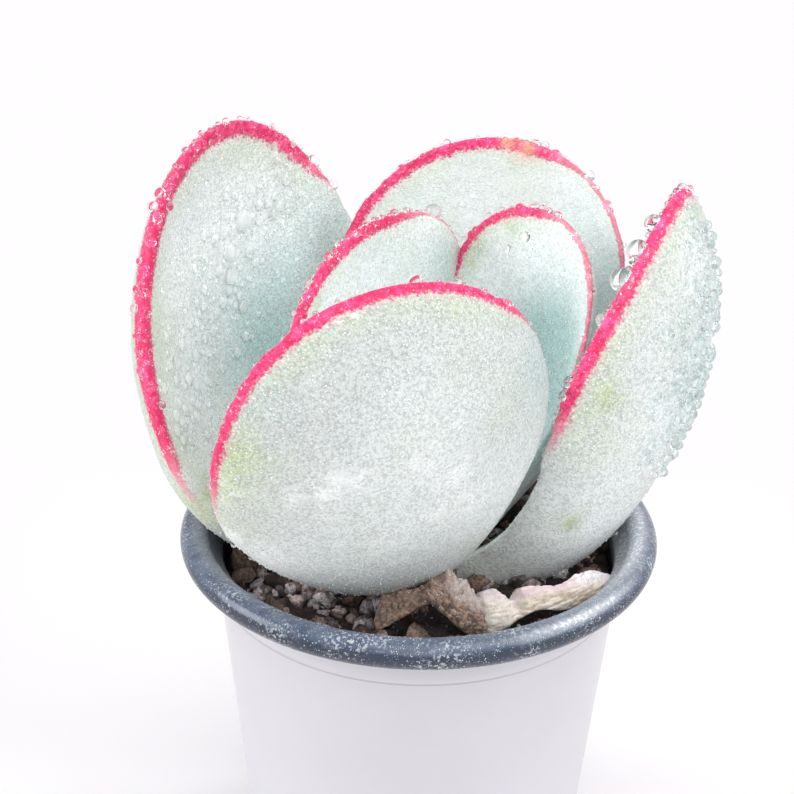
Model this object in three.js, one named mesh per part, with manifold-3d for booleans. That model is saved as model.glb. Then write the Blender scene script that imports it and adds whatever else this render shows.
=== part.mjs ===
// Potted succulent with six thick, cupped, obovate leaves in a small round nursery pot. Millimetres, +Z up.
// The origin is the middle of the pot's flat base. +X is right, -Y is towards the front of the plant.
import * as THREE from 'three';
import Module from 'manifold-3d';

const wasm = await Module();
wasm.setup();

// Driving dimensions of the pot
const RIM_DIAMETER = 60;
const POT_HEIGHT = 53.8;
const BEAD_RADIUS = RIM_DIAMETER * 0.03;
const BEAD_CENTRE_RADIUS = RIM_DIAMETER / 2 - BEAD_RADIUS;
const BEAD_CENTRE_HEIGHT = POT_HEIGHT - BEAD_RADIUS;
const WALL_TOP_RADIUS = BEAD_CENTRE_RADIUS - 1.95;
const WALL_TAPER = 0.1;
const WALL_THICKNESS = 1.1;
const SHOULDER_DROP = 5.6;
const SHOULDER_STEP = 0.3;
const FLOOR_THICKNESS = 1.6;
const BASE_CHAMFER = 0.8;
const POT_SEGMENTS = 64;

// Gap left between neighbouring pieces, and the growth of the cutters that makes it
const GAP = 0.3;
const GROW = 0.36;

// Soil
const SOIL_LEVEL = 47.4;
const SOIL_RINGS = 18;
const SOIL_SEGMENTS = 60;
const GRAIN_COUNT = 150;
const GRAIN_SEED = 20417;

// Stem that carries the leaves
const STEM_RADIUS = 3.6;
const STEM_FOOT = 36;
const STEM_TOP = 55.5;

// Leaf mesh
const LEAF_STATIONS = 24;
const LEAF_AROUND = 26;
const MIDRIB_STEPS = 120;
const EDGE_THICKNESS = 1.4;
const INNER_BULGE = 0.6;

// Each leaf's dimensions. Angles are in degrees. azimuth 0 is +X and 90 is +Y, lean is
// measured from upright, cup is the turn of the blade from margin to margin.
const LEAVES = {
  leaf_front: {
    azimuth: 263, foot: 4.5, height: 50.5, leanFoot: 71, leanTip: -4.5, leanPower: 0.7,
    length: 54, width: 42, cup: 56, roll: 23, twist: 14, bend: -5,
    widest: 0.55, footWidth: 0.22, tipPower: 2.3, thickness: 4.2, swell: 0.1,
  },
  leaf_left: {
    azimuth: 151, foot: 4.5, height: 48.8, leanFoot: 89, leanTip: -16, leanPower: 0.7,
    length: 64, width: 55.5, cup: 71, roll: 0, twist: 0, bend: 9.5,
    widest: 0.37, footWidth: 0.24, tipPower: 2.85, thickness: 4.8, swell: 0.85,
  },
  leaf_back: {
    azimuth: 67, foot: 4.5, height: 50.5, leanFoot: 59, leanTip: 2, leanPower: 1,
    length: 53.5, width: 43, cup: 85, roll: 0, twist: 0, bend: -3,
    widest: 0.62, footWidth: 0.38, tipPower: 2.2, thickness: 4.5, swell: 0.5,
  },
  leaf_right: {
    azimuth: 1, foot: 4.5, height: 46.6, leanFoot: 79, leanTip: -13.5, leanPower: 0.78,
    length: 61, width: 39, cup: 85, roll: -25, twist: 0, bend: -4.5,
    widest: 0.59, footWidth: 0.3, tipPower: 1.65, thickness: 4.8, swell: 0.55,
  },
  leaf_inner_left: {
    azimuth: 148, foot: 3.5, height: 53, leanFoot: 19, leanTip: -9, leanPower: 1,
    length: 39, width: 39.5, cup: 25, roll: 0, twist: 0, bend: -2,
    widest: 0.63, footWidth: 0.28, tipPower: 2.6, thickness: 4, swell: 0.3,
  },
  leaf_inner_right: {
    azimuth: 31, foot: 3.5, height: 53, leanFoot: 39, leanTip: 2, leanPower: 1,
    length: 41.5, width: 30, cup: 57, roll: 0, twist: 0, bend: 4,
    widest: 0.63, footWidth: 0.34, tipPower: 2.5, thickness: 4, swell: 0.3,
  },
};

// The first leaf of each pair gives way to the second
const GIVES_WAY = [
  ['leaf_left', 'leaf_back'],
  ['leaf_left', 'leaf_front'],
  ['leaf_back', 'leaf_inner_left'],
  ['leaf_back', 'leaf_inner_right'],
  ['leaf_back', 'leaf_right'],
  ['leaf_inner_left', 'leaf_inner_right'],
  ['leaf_inner_right', 'leaf_right'],
  ['leaf_right', 'leaf_front'],
  ['leaf_inner_left', 'leaf_left'],
  ['leaf_inner_left', 'leaf_front'],
  ['leaf_inner_right', 'leaf_front'],
];

// Two dried leaves that lie on the soil at the front, each a crumpled sheet arched over its own axis.
// start and end are the axis' ends, reach is the arch's height, from and to are the angles it covers,
// with 0 at the front and 90 straight up.
const DRIED = {
  dried_leaf_brown: {
    start: [-4.9, -12.8, 48.0], end: [8.0, -14.4, 48.0], rise: 0.3,
    reach: 4.6, peak: 0.6, thin: 0.3, from: -2, to: 158, sheet: 1.0, crumple: 0.16, waves: 5,
  },
  dried_leaf_pale: {
    start: [9.2, -14.9, 48.2], end: [22.4, -7.2, 49.2], rise: 0.3,
    reach: 3.0, peak: 0.4, thin: 0.25, from: 12, to: 176, sheet: 0.9, crumple: 0.1, waves: 3,
  },
};
const SHEET_LENGTHWISE = 20;
const SHEET_ACROSS = 12;

// Small helpers
const rad = (degrees) => degrees * Math.PI / 180;
const clamp01 = (x) => Math.min(1, Math.max(0, x));
const vec = (x, y, z) => new THREE.Vector3(x, y, z);

function seededRandom(seed) {
  let state = seed >>> 0;
  return () => {
    state = (Math.imul(state, 1664525) + 1013904223) >>> 0;
    return state / 4294967296;
  };
}

// Closed body from points and triangles, turned outward if needed
function solidFrom(points, triangles) {
  const vertProperties = new Float32Array(points.length * 3);
  points.forEach((p, i) => vertProperties.set([p.x, p.y, p.z], i * 3));
  const build = (list) => {
    const triVerts = new Uint32Array(list.flat());
    return new wasm.Manifold(new wasm.Mesh({ numProp: 3, vertProperties, triVerts }));
  };
  const body = build(triangles);
  return body.volume() > 0 ? body : build(triangles.map(([a, b, c]) => [a, c, b]));
}

// Closed body from rows of equally long rings, with a middle point closing each end
function solidFromRings(rings) {
  const around = rings[0].length;
  const points = rings.flat();
  const triangles = [];
  for (let i = 0; i + 1 < rings.length; i += 1) {
    for (let j = 0; j < around; j += 1) {
      const k = (j + 1) % around;
      triangles.push([i * around + j, i * around + k, (i + 1) * around + k]);
      triangles.push([i * around + j, (i + 1) * around + k, (i + 1) * around + j]);
    }
  }
  const last = (rings.length - 1) * around;
  const middle = (ring) => {
    const sum = ring.reduce((total, p) => total.add(p), vec(0, 0, 0));
    return sum.multiplyScalar(1 / ring.length);
  };
  points.push(middle(rings[0]), middle(rings[rings.length - 1]));
  for (let j = 0; j < around; j += 1) {
    const k = (j + 1) % around;
    triangles.push([points.length - 2, k, j]);
    triangles.push([points.length - 1, last + j, last + k]);
  }
  return solidFrom(points, triangles);
}

// Half width of a leaf at u, 0 at the foot and 1 at the tip
function halfWidth(p, u) {
  if (u < p.widest) {
    const rise = Math.sin(Math.PI / 2 * clamp01(u / p.widest)) ** 1.2;
    return p.width / 2 * (p.footWidth + (1 - p.footWidth) * rise);
  }
  const fall = clamp01((u - p.widest) / (1 - p.widest)) ** p.tipPower;
  return p.width / 2 * Math.sqrt(Math.max(0, 1 - fall));
}

// Midrib: points with the directions along it (t), to the inner face (n) and across (s)
function midrib(p) {
  const azimuth = rad(p.azimuth);
  const out = vec(Math.cos(azimuth), Math.sin(azimuth), 0);
  const up = vec(0, 0, 1);
  const at = out.clone().multiplyScalar(p.foot).add(vec(0, 0, p.height));
  const stations = [];
  let last = null;
  for (let i = 0; i <= MIDRIB_STEPS; i += 1) {
    const u = i / MIDRIB_STEPS;
    const lean = rad(p.leanFoot + (p.leanTip - p.leanFoot) * u ** p.leanPower);
    const bend = rad(p.bend * u);
    const turn = rad(p.roll + p.twist * u);
    const along = out.clone().multiplyScalar(Math.sin(lean)).addScaledVector(up, Math.cos(lean));
    const inward = out.clone().multiplyScalar(-Math.cos(lean)).addScaledVector(up, Math.sin(lean));
    const across = along.clone().cross(inward);
    const t = along.clone().multiplyScalar(Math.cos(bend)).addScaledVector(across, Math.sin(bend));
    const s = across.clone().multiplyScalar(Math.cos(bend)).addScaledVector(along, -Math.sin(bend));
    s.applyAxisAngle(t, turn);
    const n = inward.clone().applyAxisAngle(t, turn);
    if (last) {
      at.addScaledVector(last.clone().add(t), p.length / MIDRIB_STEPS / 2);
    }
    last = t;
    stations.push({ at: at.clone(), t, s, n });
  }
  return stations;
}

// Leaf: the blade is bent round a cylinder, nearly flat inside and bulging outside, with a round edge
function leafSolid(p, grow) {
  const rib = midrib(p);
  const radius = p.width / rad(p.cup);
  const rings = [];
  for (let i = 0; i <= LEAF_STATIONS; i += 1) {
    const u = Math.sin(Math.PI / 2 * i / LEAF_STATIONS);
    const place = u * MIDRIB_STEPS;
    const low = Math.min(MIDRIB_STEPS - 1, Math.floor(place));
    const mix = place - low;
    const blend = (key) => rib[low][key].clone().lerp(rib[low + 1][key], mix);
    const at = blend('at').addScaledVector(blend('t').normalize(), grow * (2 * u - 1));
    const s = blend('s').normalize();
    const n = blend('n').normalize();
    const half = halfWidth(p, u) + grow;
    const neck = 0.6 + 0.4 * Math.sin(Math.PI / 2 * clamp01(u / 0.3));
    const swell = (1 + p.swell * (1 - u) ** 1.5 - 0.35 * u * u) * neck;
    const tip = Math.sqrt(Math.max(0, 1 - u ** 8));
    const ring = [];
    for (let j = 0; j < LEAF_AROUND; j += 1) {
      const turn = 2 * Math.PI * j / LEAF_AROUND;
      const v = Math.cos(turn);
      const side = Math.abs(Math.sin(turn)) < 1e-9 ? 0 : Math.sign(Math.sin(turn));
      const edge = EDGE_THICKNESS / 2 * Math.sqrt(Math.max(0, 1 - v ** 8));
      const inner = INNER_BULGE * swell * (1 - v * v) + edge;
      const outer = (p.thickness - INNER_BULGE) * swell * (1 - v * v) ** 0.85 + edge;
      const height = (side > 0 ? inner : side < 0 ? -outer : 0) * tip + side * grow;
      const alpha = half * v / radius;
      const point = at.clone().addScaledVector(s, radius * Math.sin(alpha));
      point.addScaledVector(n, radius * (1 - Math.cos(alpha)));
      point.addScaledVector(s, -Math.sin(alpha) * height);
      point.addScaledVector(n, Math.cos(alpha) * height);
      ring.push(point);
    }
    rings.push(ring);
  }
  return solidFromRings(rings);
}

// Round body turned from rows of radius and height, from the axis at the bottom to the axis at the top
function turnedSolid(profile, segments) {
  const rings = [];
  for (const [r, z] of profile) {
    const ring = [];
    for (let j = 0; j < segments; j += 1) {
      const turn = 2 * Math.PI * j / segments;
      ring.push(vec(r * Math.cos(turn), r * Math.sin(turn), z));
    }
    rings.push(ring);
  }
  return solidFromRings(rings);
}

function stemSolid(grow) {
  const r = STEM_RADIUS + grow;
  const profile = [[r * 0.7, STEM_FOOT - grow], [r, STEM_FOOT + 2]];
  profile.push([r, STEM_TOP - 2.4]);
  for (let i = 1; i <= 4; i += 1) {
    const turn = rad(90 * i / 4.6);
    profile.push([r * Math.cos(turn), STEM_TOP - 2.4 + (2.4 + grow) * Math.sin(turn)]);
  }
  return turnedSolid(profile, 28);
}

// Pot: one thin tapered cup with a shallow shoulder, a flat base and a round bead for its rim
const wallOuter = (z) => WALL_TOP_RADIUS - WALL_TAPER * (BEAD_CENTRE_HEIGHT - z);
const wallInner = (z) => wallOuter(z) - WALL_THICKNESS;

function potOuter(grow) {
  const shoulder = BEAD_CENTRE_HEIGHT - SHOULDER_DROP;
  const profile = [[wallOuter(0) - BASE_CHAMFER + grow, -grow]];
  profile.push([wallOuter(BASE_CHAMFER) + grow, BASE_CHAMFER]);
  profile.push([wallOuter(shoulder) - SHOULDER_STEP + grow, shoulder - 0.35]);
  profile.push([wallOuter(shoulder) + grow, shoulder]);
  profile.push([WALL_TOP_RADIUS + grow, BEAD_CENTRE_HEIGHT - 0.75]);
  for (let i = 0; i <= 12; i += 1) {
    const turn = rad(-130 + 290 * i / 12);
    const r = BEAD_CENTRE_RADIUS + (BEAD_RADIUS + grow) * Math.cos(turn);
    const z = BEAD_CENTRE_HEIGHT + (BEAD_RADIUS + grow) * Math.sin(turn);
    profile.push([r, z]);
  }
  return turnedSolid(profile, POT_SEGMENTS);
}

function potInner(grow) {
  const profile = [[wallInner(FLOOR_THICKNESS) - 1 - grow, FLOOR_THICKNESS + grow]];
  profile.push([wallInner(FLOOR_THICKNESS + 1) - grow, FLOOR_THICKNESS + 1 + grow]);
  profile.push([wallInner(BEAD_CENTRE_HEIGHT - 2) - grow, BEAD_CENTRE_HEIGHT - 2]);
  profile.push([wallInner(BEAD_CENTRE_HEIGHT) + 0.25 - grow, BEAD_CENTRE_HEIGHT - 0.6]);
  profile.push([BEAD_CENTRE_RADIUS - BEAD_RADIUS - grow, BEAD_CENTRE_HEIGHT + 0.2]);
  profile.push([BEAD_CENTRE_RADIUS - BEAD_RADIUS - grow, POT_HEIGHT + 2]);
  return turnedSolid(profile, POT_SEGMENTS);
}

const potSolid = (grow) => potOuter(grow).subtract(potInner(grow));

// Soil surface: a seeded scatter of round grains and bark bits raised from a gently uneven level
function soilHeight() {
  const random = seededRandom(GRAIN_SEED);
  const grains = [];
  for (let i = 0; i < GRAIN_COUNT; i += 1) {
    const r = 23.4 * Math.sqrt(random());
    const turn = 2 * Math.PI * random();
    const size = 0.9 + 1.5 * random();
    const top = 0.3 + 0.8 * random();
    grains.push({ x: r * Math.cos(turn), y: r * Math.sin(turn), size, top });
  }
  return (x, y) => {
    const level = SOIL_LEVEL + 0.25 * Math.sin(0.35 * x + 1) * Math.cos(0.3 * y);
    let raised = 0;
    for (const g of grains) {
      const d2 = ((x - g.x) ** 2 + (y - g.y) ** 2) / (g.size * g.size);
      if (d2 < 1) {
        raised = Math.max(raised, g.top * Math.sqrt(1 - d2));
      }
    }
    return level + raised;
  };
}

function soilSolid() {
  const height = soilHeight();
  const low = FLOOR_THICKNESS + GAP;
  const radiusAt = (z) => wallInner(z) - GAP - 0.05;
  const rings = [];
  const flatRing = (r, z) => {
    const ring = [];
    for (let j = 0; j < SOIL_SEGMENTS; j += 1) {
      const turn = 2 * Math.PI * j / SOIL_SEGMENTS;
      ring.push(vec(r * Math.cos(turn), r * Math.sin(turn), z));
    }
    return ring;
  };
  rings.push(flatRing(radiusAt(low) - 1.2, low));
  rings.push(flatRing(radiusAt(low + 1.2), low + 1.2));
  const edge = radiusAt(SOIL_LEVEL - 1);
  for (let i = 0; i < SOIL_RINGS; i += 1) {
    const r = edge * (1 - i / SOIL_RINGS);
    const ring = flatRing(r, 0);
    for (const p of ring) {
      p.z = i === 0 ? SOIL_LEVEL - 1 : height(p.x, p.y);
    }
    rings.push(ring);
  }
  return solidFromRings(rings);
}

// Dried leaf: a sheet arched over a rising axis, narrow at both ends, its radius crumpled by waves
function driedSolid(p, grow) {
  const start = vec(...p.start);
  const end = vec(...p.end);
  const flat = end.clone().sub(start).setZ(0).normalize();
  start.addScaledVector(flat, -grow);
  end.addScaledVector(flat, grow);
  const front = vec(flat.y, -flat.x, 0);
  const rings = [];
  for (let i = 0; i <= SHEET_LENGTHWISE; i += 1) {
    const a = i / SHEET_LENGTHWISE;
    const at = start.clone().lerp(end, a);
    at.z += p.rise * Math.sin(Math.PI * a);
    const swell = a < p.peak ? a / p.peak : (1 - a) / (1 - p.peak);
    const reach = p.reach * (p.thin + (1 - p.thin) * Math.sin(Math.PI / 2 * swell));
    const ring = [];
    const count = 2 * (SHEET_ACROSS + 1);
    for (let j = 0; j < count; j += 1) {
      const outer = j <= SHEET_ACROSS;
      const b = outer ? j / SHEET_ACROSS : (count - 1 - j) / SHEET_ACROSS;
      const turn = rad(p.from + (p.to - p.from) * b) + (2 * b - 1) * grow / reach;
      const wave = Math.sin(p.waves * turn + 7 * a) + 0.6 * Math.sin(11 * a - 3 * turn);
      const sheet = (p.sheet / 2 + grow) * (outer ? 1 : -1);
      const r = reach * (1 + p.crumple * wave) + sheet;
      const point = at.clone().addScaledVector(front, r * Math.cos(turn));
      point.z += r * Math.sin(turn);
      ring.push(point);
    }
    rings.push(ring);
  }
  return solidFromRings(rings);
}

// Cut the pieces clear of each other
const pieces = {};
for (const [name, p] of Object.entries(LEAVES)) {
  pieces[name] = leafSolid(p, 0).subtract(stemSolid(GAP)).subtract(potSolid(GAP));
}
for (const [name, other] of GIVES_WAY) {
  pieces[name] = pieces[name].subtract(leafSolid(LEAVES[other], GROW));
}
pieces.soil = soilSolid().subtract(stemSolid(GAP));
for (const p of Object.values(LEAVES)) {
  pieces.soil = pieces.soil.subtract(leafSolid(p, GROW));
}
for (const [name, p] of Object.entries(DRIED)) {
  let sheet = driedSolid(p, 0).subtract(leafSolid(LEAVES.leaf_front, GROW));
  sheet = sheet.subtract(leafSolid(LEAVES.leaf_right, GROW));
  pieces[name] = sheet;
  pieces.soil = pieces.soil.subtract(driedSolid(p, GROW));
}
pieces.stem = stemSolid(0);
pieces.pot = potSolid(0);

// Keep the largest body of a cut piece
function largest(body) {
  const parts = body.decompose();
  return parts.reduce((best, part) => (part.volume() > best.volume() ? part : best));
}

function geometryFrom(body) {
  const mesh = body.getMesh();
  const count = mesh.vertProperties.length / mesh.numProp;
  const position = new Float32Array(count * 3);
  for (let i = 0; i < count; i += 1) {
    for (let k = 0; k < 3; k += 1) {
      position[i * 3 + k] = mesh.vertProperties[i * mesh.numProp + k];
    }
  }
  const geometry = new THREE.BufferGeometry();
  geometry.setAttribute('position', new THREE.BufferAttribute(position, 3));
  geometry.setIndex(new THREE.BufferAttribute(new Uint32Array(mesh.triVerts), 1));
  geometry.computeVertexNormals();
  return geometry;
}

// Materials
const material = (color, roughness) => new THREE.MeshStandardMaterial({ color, roughness, metalness: 0 });
const MATERIALS = {
  pot: material(0xe6e6ec, 0.45),
  soil: material(0x3b302b, 0.95),
  stem: material(0x93a184, 0.7),
  dried_leaf_brown: material(0x80675a, 0.9),
  dried_leaf_pale: material(0xcdbb9f, 0.8),
};

const group = new THREE.Group();
function addNode(name, geometry, look) {
  const mesh = new THREE.Mesh(geometry, look);
  mesh.name = name;
  group.add(mesh);
}

for (const name of ['pot', 'soil', 'stem', ...Object.keys(LEAVES), ...Object.keys(DRIED)]) {
  addNode(name, geometryFrom(largest(pieces[name])), MATERIALS[name] ?? material(0xd3dfd8, 0.6));
}

export default group;
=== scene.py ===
"""Looks of a potted succulent: six cupped leaves with pink margins and dew, in a two-tone nursery pot.

Every piece is a surface worked out with numpy from the sizes below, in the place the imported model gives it.
Sizes are in millimetres where their name or comment says so and are turned to metres with MM.
"""
import math
from functools import cached_property

import bpy
import numpy as np
from bpy.props import FloatProperty, FloatVectorProperty, IntProperty, PointerProperty
from mathutils import Matrix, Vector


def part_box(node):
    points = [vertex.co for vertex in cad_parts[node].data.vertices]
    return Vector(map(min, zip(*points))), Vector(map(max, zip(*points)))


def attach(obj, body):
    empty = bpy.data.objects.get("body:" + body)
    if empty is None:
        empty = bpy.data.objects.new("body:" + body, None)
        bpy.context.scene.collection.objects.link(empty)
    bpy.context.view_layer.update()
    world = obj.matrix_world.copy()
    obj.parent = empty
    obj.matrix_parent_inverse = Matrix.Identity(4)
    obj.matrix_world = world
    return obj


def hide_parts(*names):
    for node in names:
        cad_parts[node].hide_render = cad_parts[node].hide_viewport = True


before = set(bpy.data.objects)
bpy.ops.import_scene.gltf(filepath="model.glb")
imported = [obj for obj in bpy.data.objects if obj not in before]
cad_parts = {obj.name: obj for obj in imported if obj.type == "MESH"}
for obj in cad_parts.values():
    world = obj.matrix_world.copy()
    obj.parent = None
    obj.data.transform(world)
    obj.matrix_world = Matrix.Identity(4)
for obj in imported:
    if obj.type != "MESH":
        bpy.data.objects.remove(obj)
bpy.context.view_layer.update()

bl_info = {
    "name": "Potted Succulent",
    "version": (1, 0, 0),
    "blender": (4, 5, 0),
    "location": "View3D > Sidebar > Succulent",
    "description": "Builds a dewy potted succulent and its studio around the packed model",
    "category": "Add Mesh",
}

MM = 0.001
UP = np.array([0.0, 0.0, 1.0])

# Pot, in metres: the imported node's rim diameter and height set the rest
POT_LOW, POT_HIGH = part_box("pot")
RIM_DIAMETER = POT_HIGH.x - POT_LOW.x
POT_HEIGHT = POT_HIGH.z
BEAD_RADIUS = RIM_DIAMETER * 0.03
BEAD_CENTRE_RADIUS = RIM_DIAMETER / 2 - BEAD_RADIUS
BEAD_CENTRE_HEIGHT = POT_HEIGHT - BEAD_RADIUS
WALL_TOP_RADIUS = BEAD_CENTRE_RADIUS - 1.95 * MM
WALL_TAPER = 0.1
WALL_THICKNESS = 1.1 * MM
SHOULDER_HEIGHT = BEAD_CENTRE_HEIGHT - 5.6 * MM
SHOULDER_STEP = 0.3 * MM
# Height of the painted shadow line under the shoulder step
SHOULDER_SHADOW_HEIGHT = SHOULDER_HEIGHT - 0.65 * MM
FLOOR_THICKNESS = 1.6 * MM
BASE_CHAMFER = 0.8 * MM
POT_AROUND = 192
GAP = 0.3 * MM

# Soil, in millimetres: the same level, grains and seed as the packed soil
SOIL_LEVEL = 47.4
SOIL_SIDE_GAP = 0.35
GRAIN_COUNT = 150
GRAIN_SEED = 20417
GRAIN_REACH = 23.4
BIT_REACH = 23.2
BIT_MESH = (7, 5)
HOLLOW_BIT = 0.3
SOIL_ROWS = 96
SOIL_AROUND = 216

# Loose bits: least and largest size, height over width, seed
BITS = {
    "mineral_grit": (0.7, 3.4, 0.7, 11),
    "bark_bits": (1.0, 5.0, 0.6, 12),
    "pale_crumbs": (0.7, 3.2, 0.7, 13),
}
# Hollows under the dried leaves: x and y of the middle, half width, half depth
HOLLOWS = ((2, -16, 6, 3.2), (13, -13, 8, 3.5), (7, -10, 4, 2.8))

# Stem, in millimetres
STEM_RADIUS = 3.6
STEM_FOOT = 36
STEM_TOP = 55.5
STEM_DOME = 2.4
STEM_AROUND = 64

# Grids: the leaf's own, the finer one that drops are placed on, its midrib and margin, the dried leaf's,
# and each kind of drop's points round it and rows
LEAF_ROWS = 120
LEAF_AROUND = 96
DEW_ROWS = 168
DEW_AROUND = 144
MIDRIB_STEPS = 240
MARGIN_STEPS = 260
SHEET_ROWS = 124
SHEET_COLUMNS = 60
DEW_MESH = (7, 4)
BAND_MESH = (10, 5)
LARGE_MESH = (24, 10)
MIST_MESH = (3, 2)
SPECK_MESH = (4, 2)

# Section of a leaf, in millimetres
EDGE_THICKNESS = 1.4
INNER_BULGE = 0.6

# Leaves, with a value for each. Angles are in degrees and lengths in millimetres.
LEAF_NAMES = ("leaf_front", "leaf_left", "leaf_back", "leaf_right", "leaf_inner_left", "leaf_inner_right")
LEAF_TABLE = dict(
    # Blade: azimuth 0 is +X and 90 is +Y, lean is from upright, and cup is its turn from margin to margin
    azimuth=(263, 151, 67, 1, 148, 31),
    foot=(4.5, 4.5, 4.5, 4.5, 3.5, 3.5),
    height=(50.5, 48.8, 50.5, 46.6, 53, 53),
    lean_foot=(71, 89, 59, 79, 19, 39),
    lean_tip=(-4.5, -16, 2, -13.5, -9, 2),
    lean_power=(0.7, 0.7, 1, 0.78, 1, 1),
    length=(54, 64, 53.5, 61, 39, 41.5),
    width=(42, 55.5, 43, 39, 39.5, 30),
    cup=(56, 71, 85, 85, 25, 57),
    roll=(23, 0, 0, -25, 0, 0),
    twist=(14, 0, 0, 0, 0, 0),
    bend=(-5, 9.5, -3, -4.5, -2, 4),
    widest=(0.55, 0.37, 0.62, 0.59, 0.63, 0.63),
    foot_width=(0.22, 0.24, 0.38, 0.3, 0.28, 0.34),
    tip_power=(2.3, 2.85, 2.2, 1.65, 2.6, 2.5),
    thickness=(4.2, 4.8, 4.5, 4.8, 4, 4),
    swell=(0.1, 0.85, 0.5, 0.55, 0.3, 0.3),
    # Margin: the side that is vivid, the share of the length where the vivid and the dull side start to
    # colour, where the vivid stretch ends past the tip, from 1 on its own side to -1 on the other, how wide
    # each is, how far the band turns towards the outer face, in radians of the section, how much narrower
    # it starts, and the share of the length over which it widens
    bright=(1, -1, -1, 1, -1, -1),
    bright_from=(0.49, 0.28, 0.3, 0.43, 0.3, 0.35),
    dull_from=(0.58, 0.55, 0.5, 0.5, 0.5, 0.5),
    bright_to=(-0.7, -0.66, -0.42, -0.3, -0.4, 0.05),
    bright_reach=(1.1, 1.75, 1.3, 1.35, 1.05, 1.05),
    dull_reach=(0.4, 0.45, 0.38, 0.4, 0.35, 0.34),
    outward=(0.0, 0.2, 0.0, 0.0, 0.0, 0.0),
    narrow=(0.55, 0.75, 0.55, 0.55, 0.55, 0.55),
    widens_over=(0.2, 0.36, 0.2, 0.2, 0.2, 0.2),
    # Dew: share of the mist, and of the clear drops on the inner face, outer face and margin, how much
    # larger the margin's largest drops are, and how tall the other clear drops are
    mist=(1.0, 1.3, 0.5, 1.0, 0.8, 0.75),
    inner_dew=(0.2, 3.2, 0.5, 1.6, 0.3, 0.6),
    outer_dew=(0.15, 0.6, 0.4, 1.1, 0.3, 0.3),
    margin_dew=(1.0, 2.2, 1.4, 1.8, 1.3, 1.3),
    largest_dew=(0.4, 1.2, 1.1, 1.1, 0.8, 0.9),
    dew_height=(0.8, 0.5, 0.7, 0.85, 0.8, 0.8),
)
LEAVES = {name: {key: row[i] for key, row in LEAF_TABLE.items()} for i, name in enumerate(LEAF_NAMES)}

# Soft round patches on the leaves: share of the length, share of the half width from -1 to 1, face (+1
# inner, -1 outer), radius in millimetres, amount
PATCHES = {
    # The bloom is thin
    "thin_bloom": {
        "leaf_front": [
            (0.68, 0.9, -1, 3.6, 0.75), (0.6, 0.92, -1, 3, 0.7), (0.5, 0.85, -1, 3, 0.3),
            (0.66, -0.5, -1, 2, 0.25),
        ],
        "leaf_left": [
            (0.28, -0.93, -1, 3, 0.6), (0.28, -0.85, 1, 4, 0.7), (0.42, -0.85, 1, 4, 0.3),
            (0.6, -0.75, 1, 6, 0.3), (0.7, -0.85, 1, 4, 0.2), (0.94, 0.2, 1, 3.5, 0.15),
        ],
        "leaf_right": [(0.62, 0.77, -1, 1.7, 0.9), (0.31, 0.68, -1, 1.3, 0.9), (0.5, 0.8, -1, 4, 0.25)],
        "leaf_inner_right": [(0.77, -0.85, 1, 2, 0.45), (0.9, -0.6, 1, 2, 0.4), (0.62, 0.5, 1, 5, 0.5)],
    },
    # Painted light: the outer face here takes the pale inner-face bloom, as if lit as brightly as inside
    "thick_bloom": {
        "leaf_front": [
            (0.33, -0.6, -1, 8, 0.7), (0.2, 0.0, -1, 4, 0.3), (0.5, 0.1, -1, 11, 0.4),
            (0.74, 0.0, -1, 8, 0.35),
        ],
        "leaf_right": [
            (0.3, 0.5, -1, 10, 1.0), (0.05, 0.6, -1, 8, 1.0), (0.6, 0.4, -1, 9, 0.45),
            (0.88, 0.5, -1, 8, 0.2),
        ],
    },
    # Painted shade: the leaf is bluish and darker in its hollows
    "painted_hollow_shade": {
        "leaf_front": [(0.75, -0.9, -1, 5, 0.45), (0.62, -0.95, -1, 5, 0.35), (0.8, 0.9, -1, 3, 0.25)],
        "leaf_left": [(0.47, 0.15, 1, 10, 0.85), (0.6, 0.4, 1, 8, 0.35), (0.7, 0.85, 1, 9, 0.5)],
        "leaf_back": [
            (0.7, 0.98, 1, 5, 0.2), (0.55, 0.9, 1, 7, 0.4), (0.7, -0.6, 1, 6, 0.25),
            (0.84, 0.8, 1, 7, 0.2), (0.92, -0.2, 1, 8, 0.12),
        ],
        "leaf_right": [(0.72, 0.1, -1, 5, 0.25), (0.62, 0.1, -1, 5, 0.25)],
        "leaf_inner_left": [(0.76, 0.8, 1, 5, 0.4), (0.88, 0.1, 1, 7, 0.12)],
        "leaf_inner_right": [(0.64, 0.5, 1, 8, 1.0), (0.45, 0.5, 1, 9, 1.0), (0.5, 0.0, 1, 7, 0.5)],
    },
    # The bloom is scuffed into fine white lines
    "scuffed": {
        "leaf_front": [
            (0.46, 0.93, -1, 2, 0.9), (0.6, 0.55, -1, 1.9, 0.9), (0.63, 0.44, -1, 2.0, 1.0),
            (0.64, 0.31, -1, 1.9, 1.0), (0.64, 0.0, -1, 1.8, 0.8), (0.58, -0.2, -1, 2.2, 0.9),
            (0.47, -0.3, -1, 2.2, 1.0), (0.49, -0.13, -1, 1.8, 0.9), (0.46, 0.13, -1, 1.7, 0.8),
            (0.6, 0.9, -1, 2.5, 0.5), (0.42, 0.75, -1, 3, 0.6),
        ],
        "leaf_left": [(0.35, -0.7, 1, 4, 0.5)],
        "leaf_right": [(0.9, 0.3, -1, 4, 0.5)],
    },
    # The margin is rusty
    "rusty": {
        "leaf_back": [(0.995, 0.15, 1, 1.1, 1.0), (0.985, 0.62, 1, 1.0, 1.0), (0.98, 0.4, 1, 1.5, 0.5)],
    },
}

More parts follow.
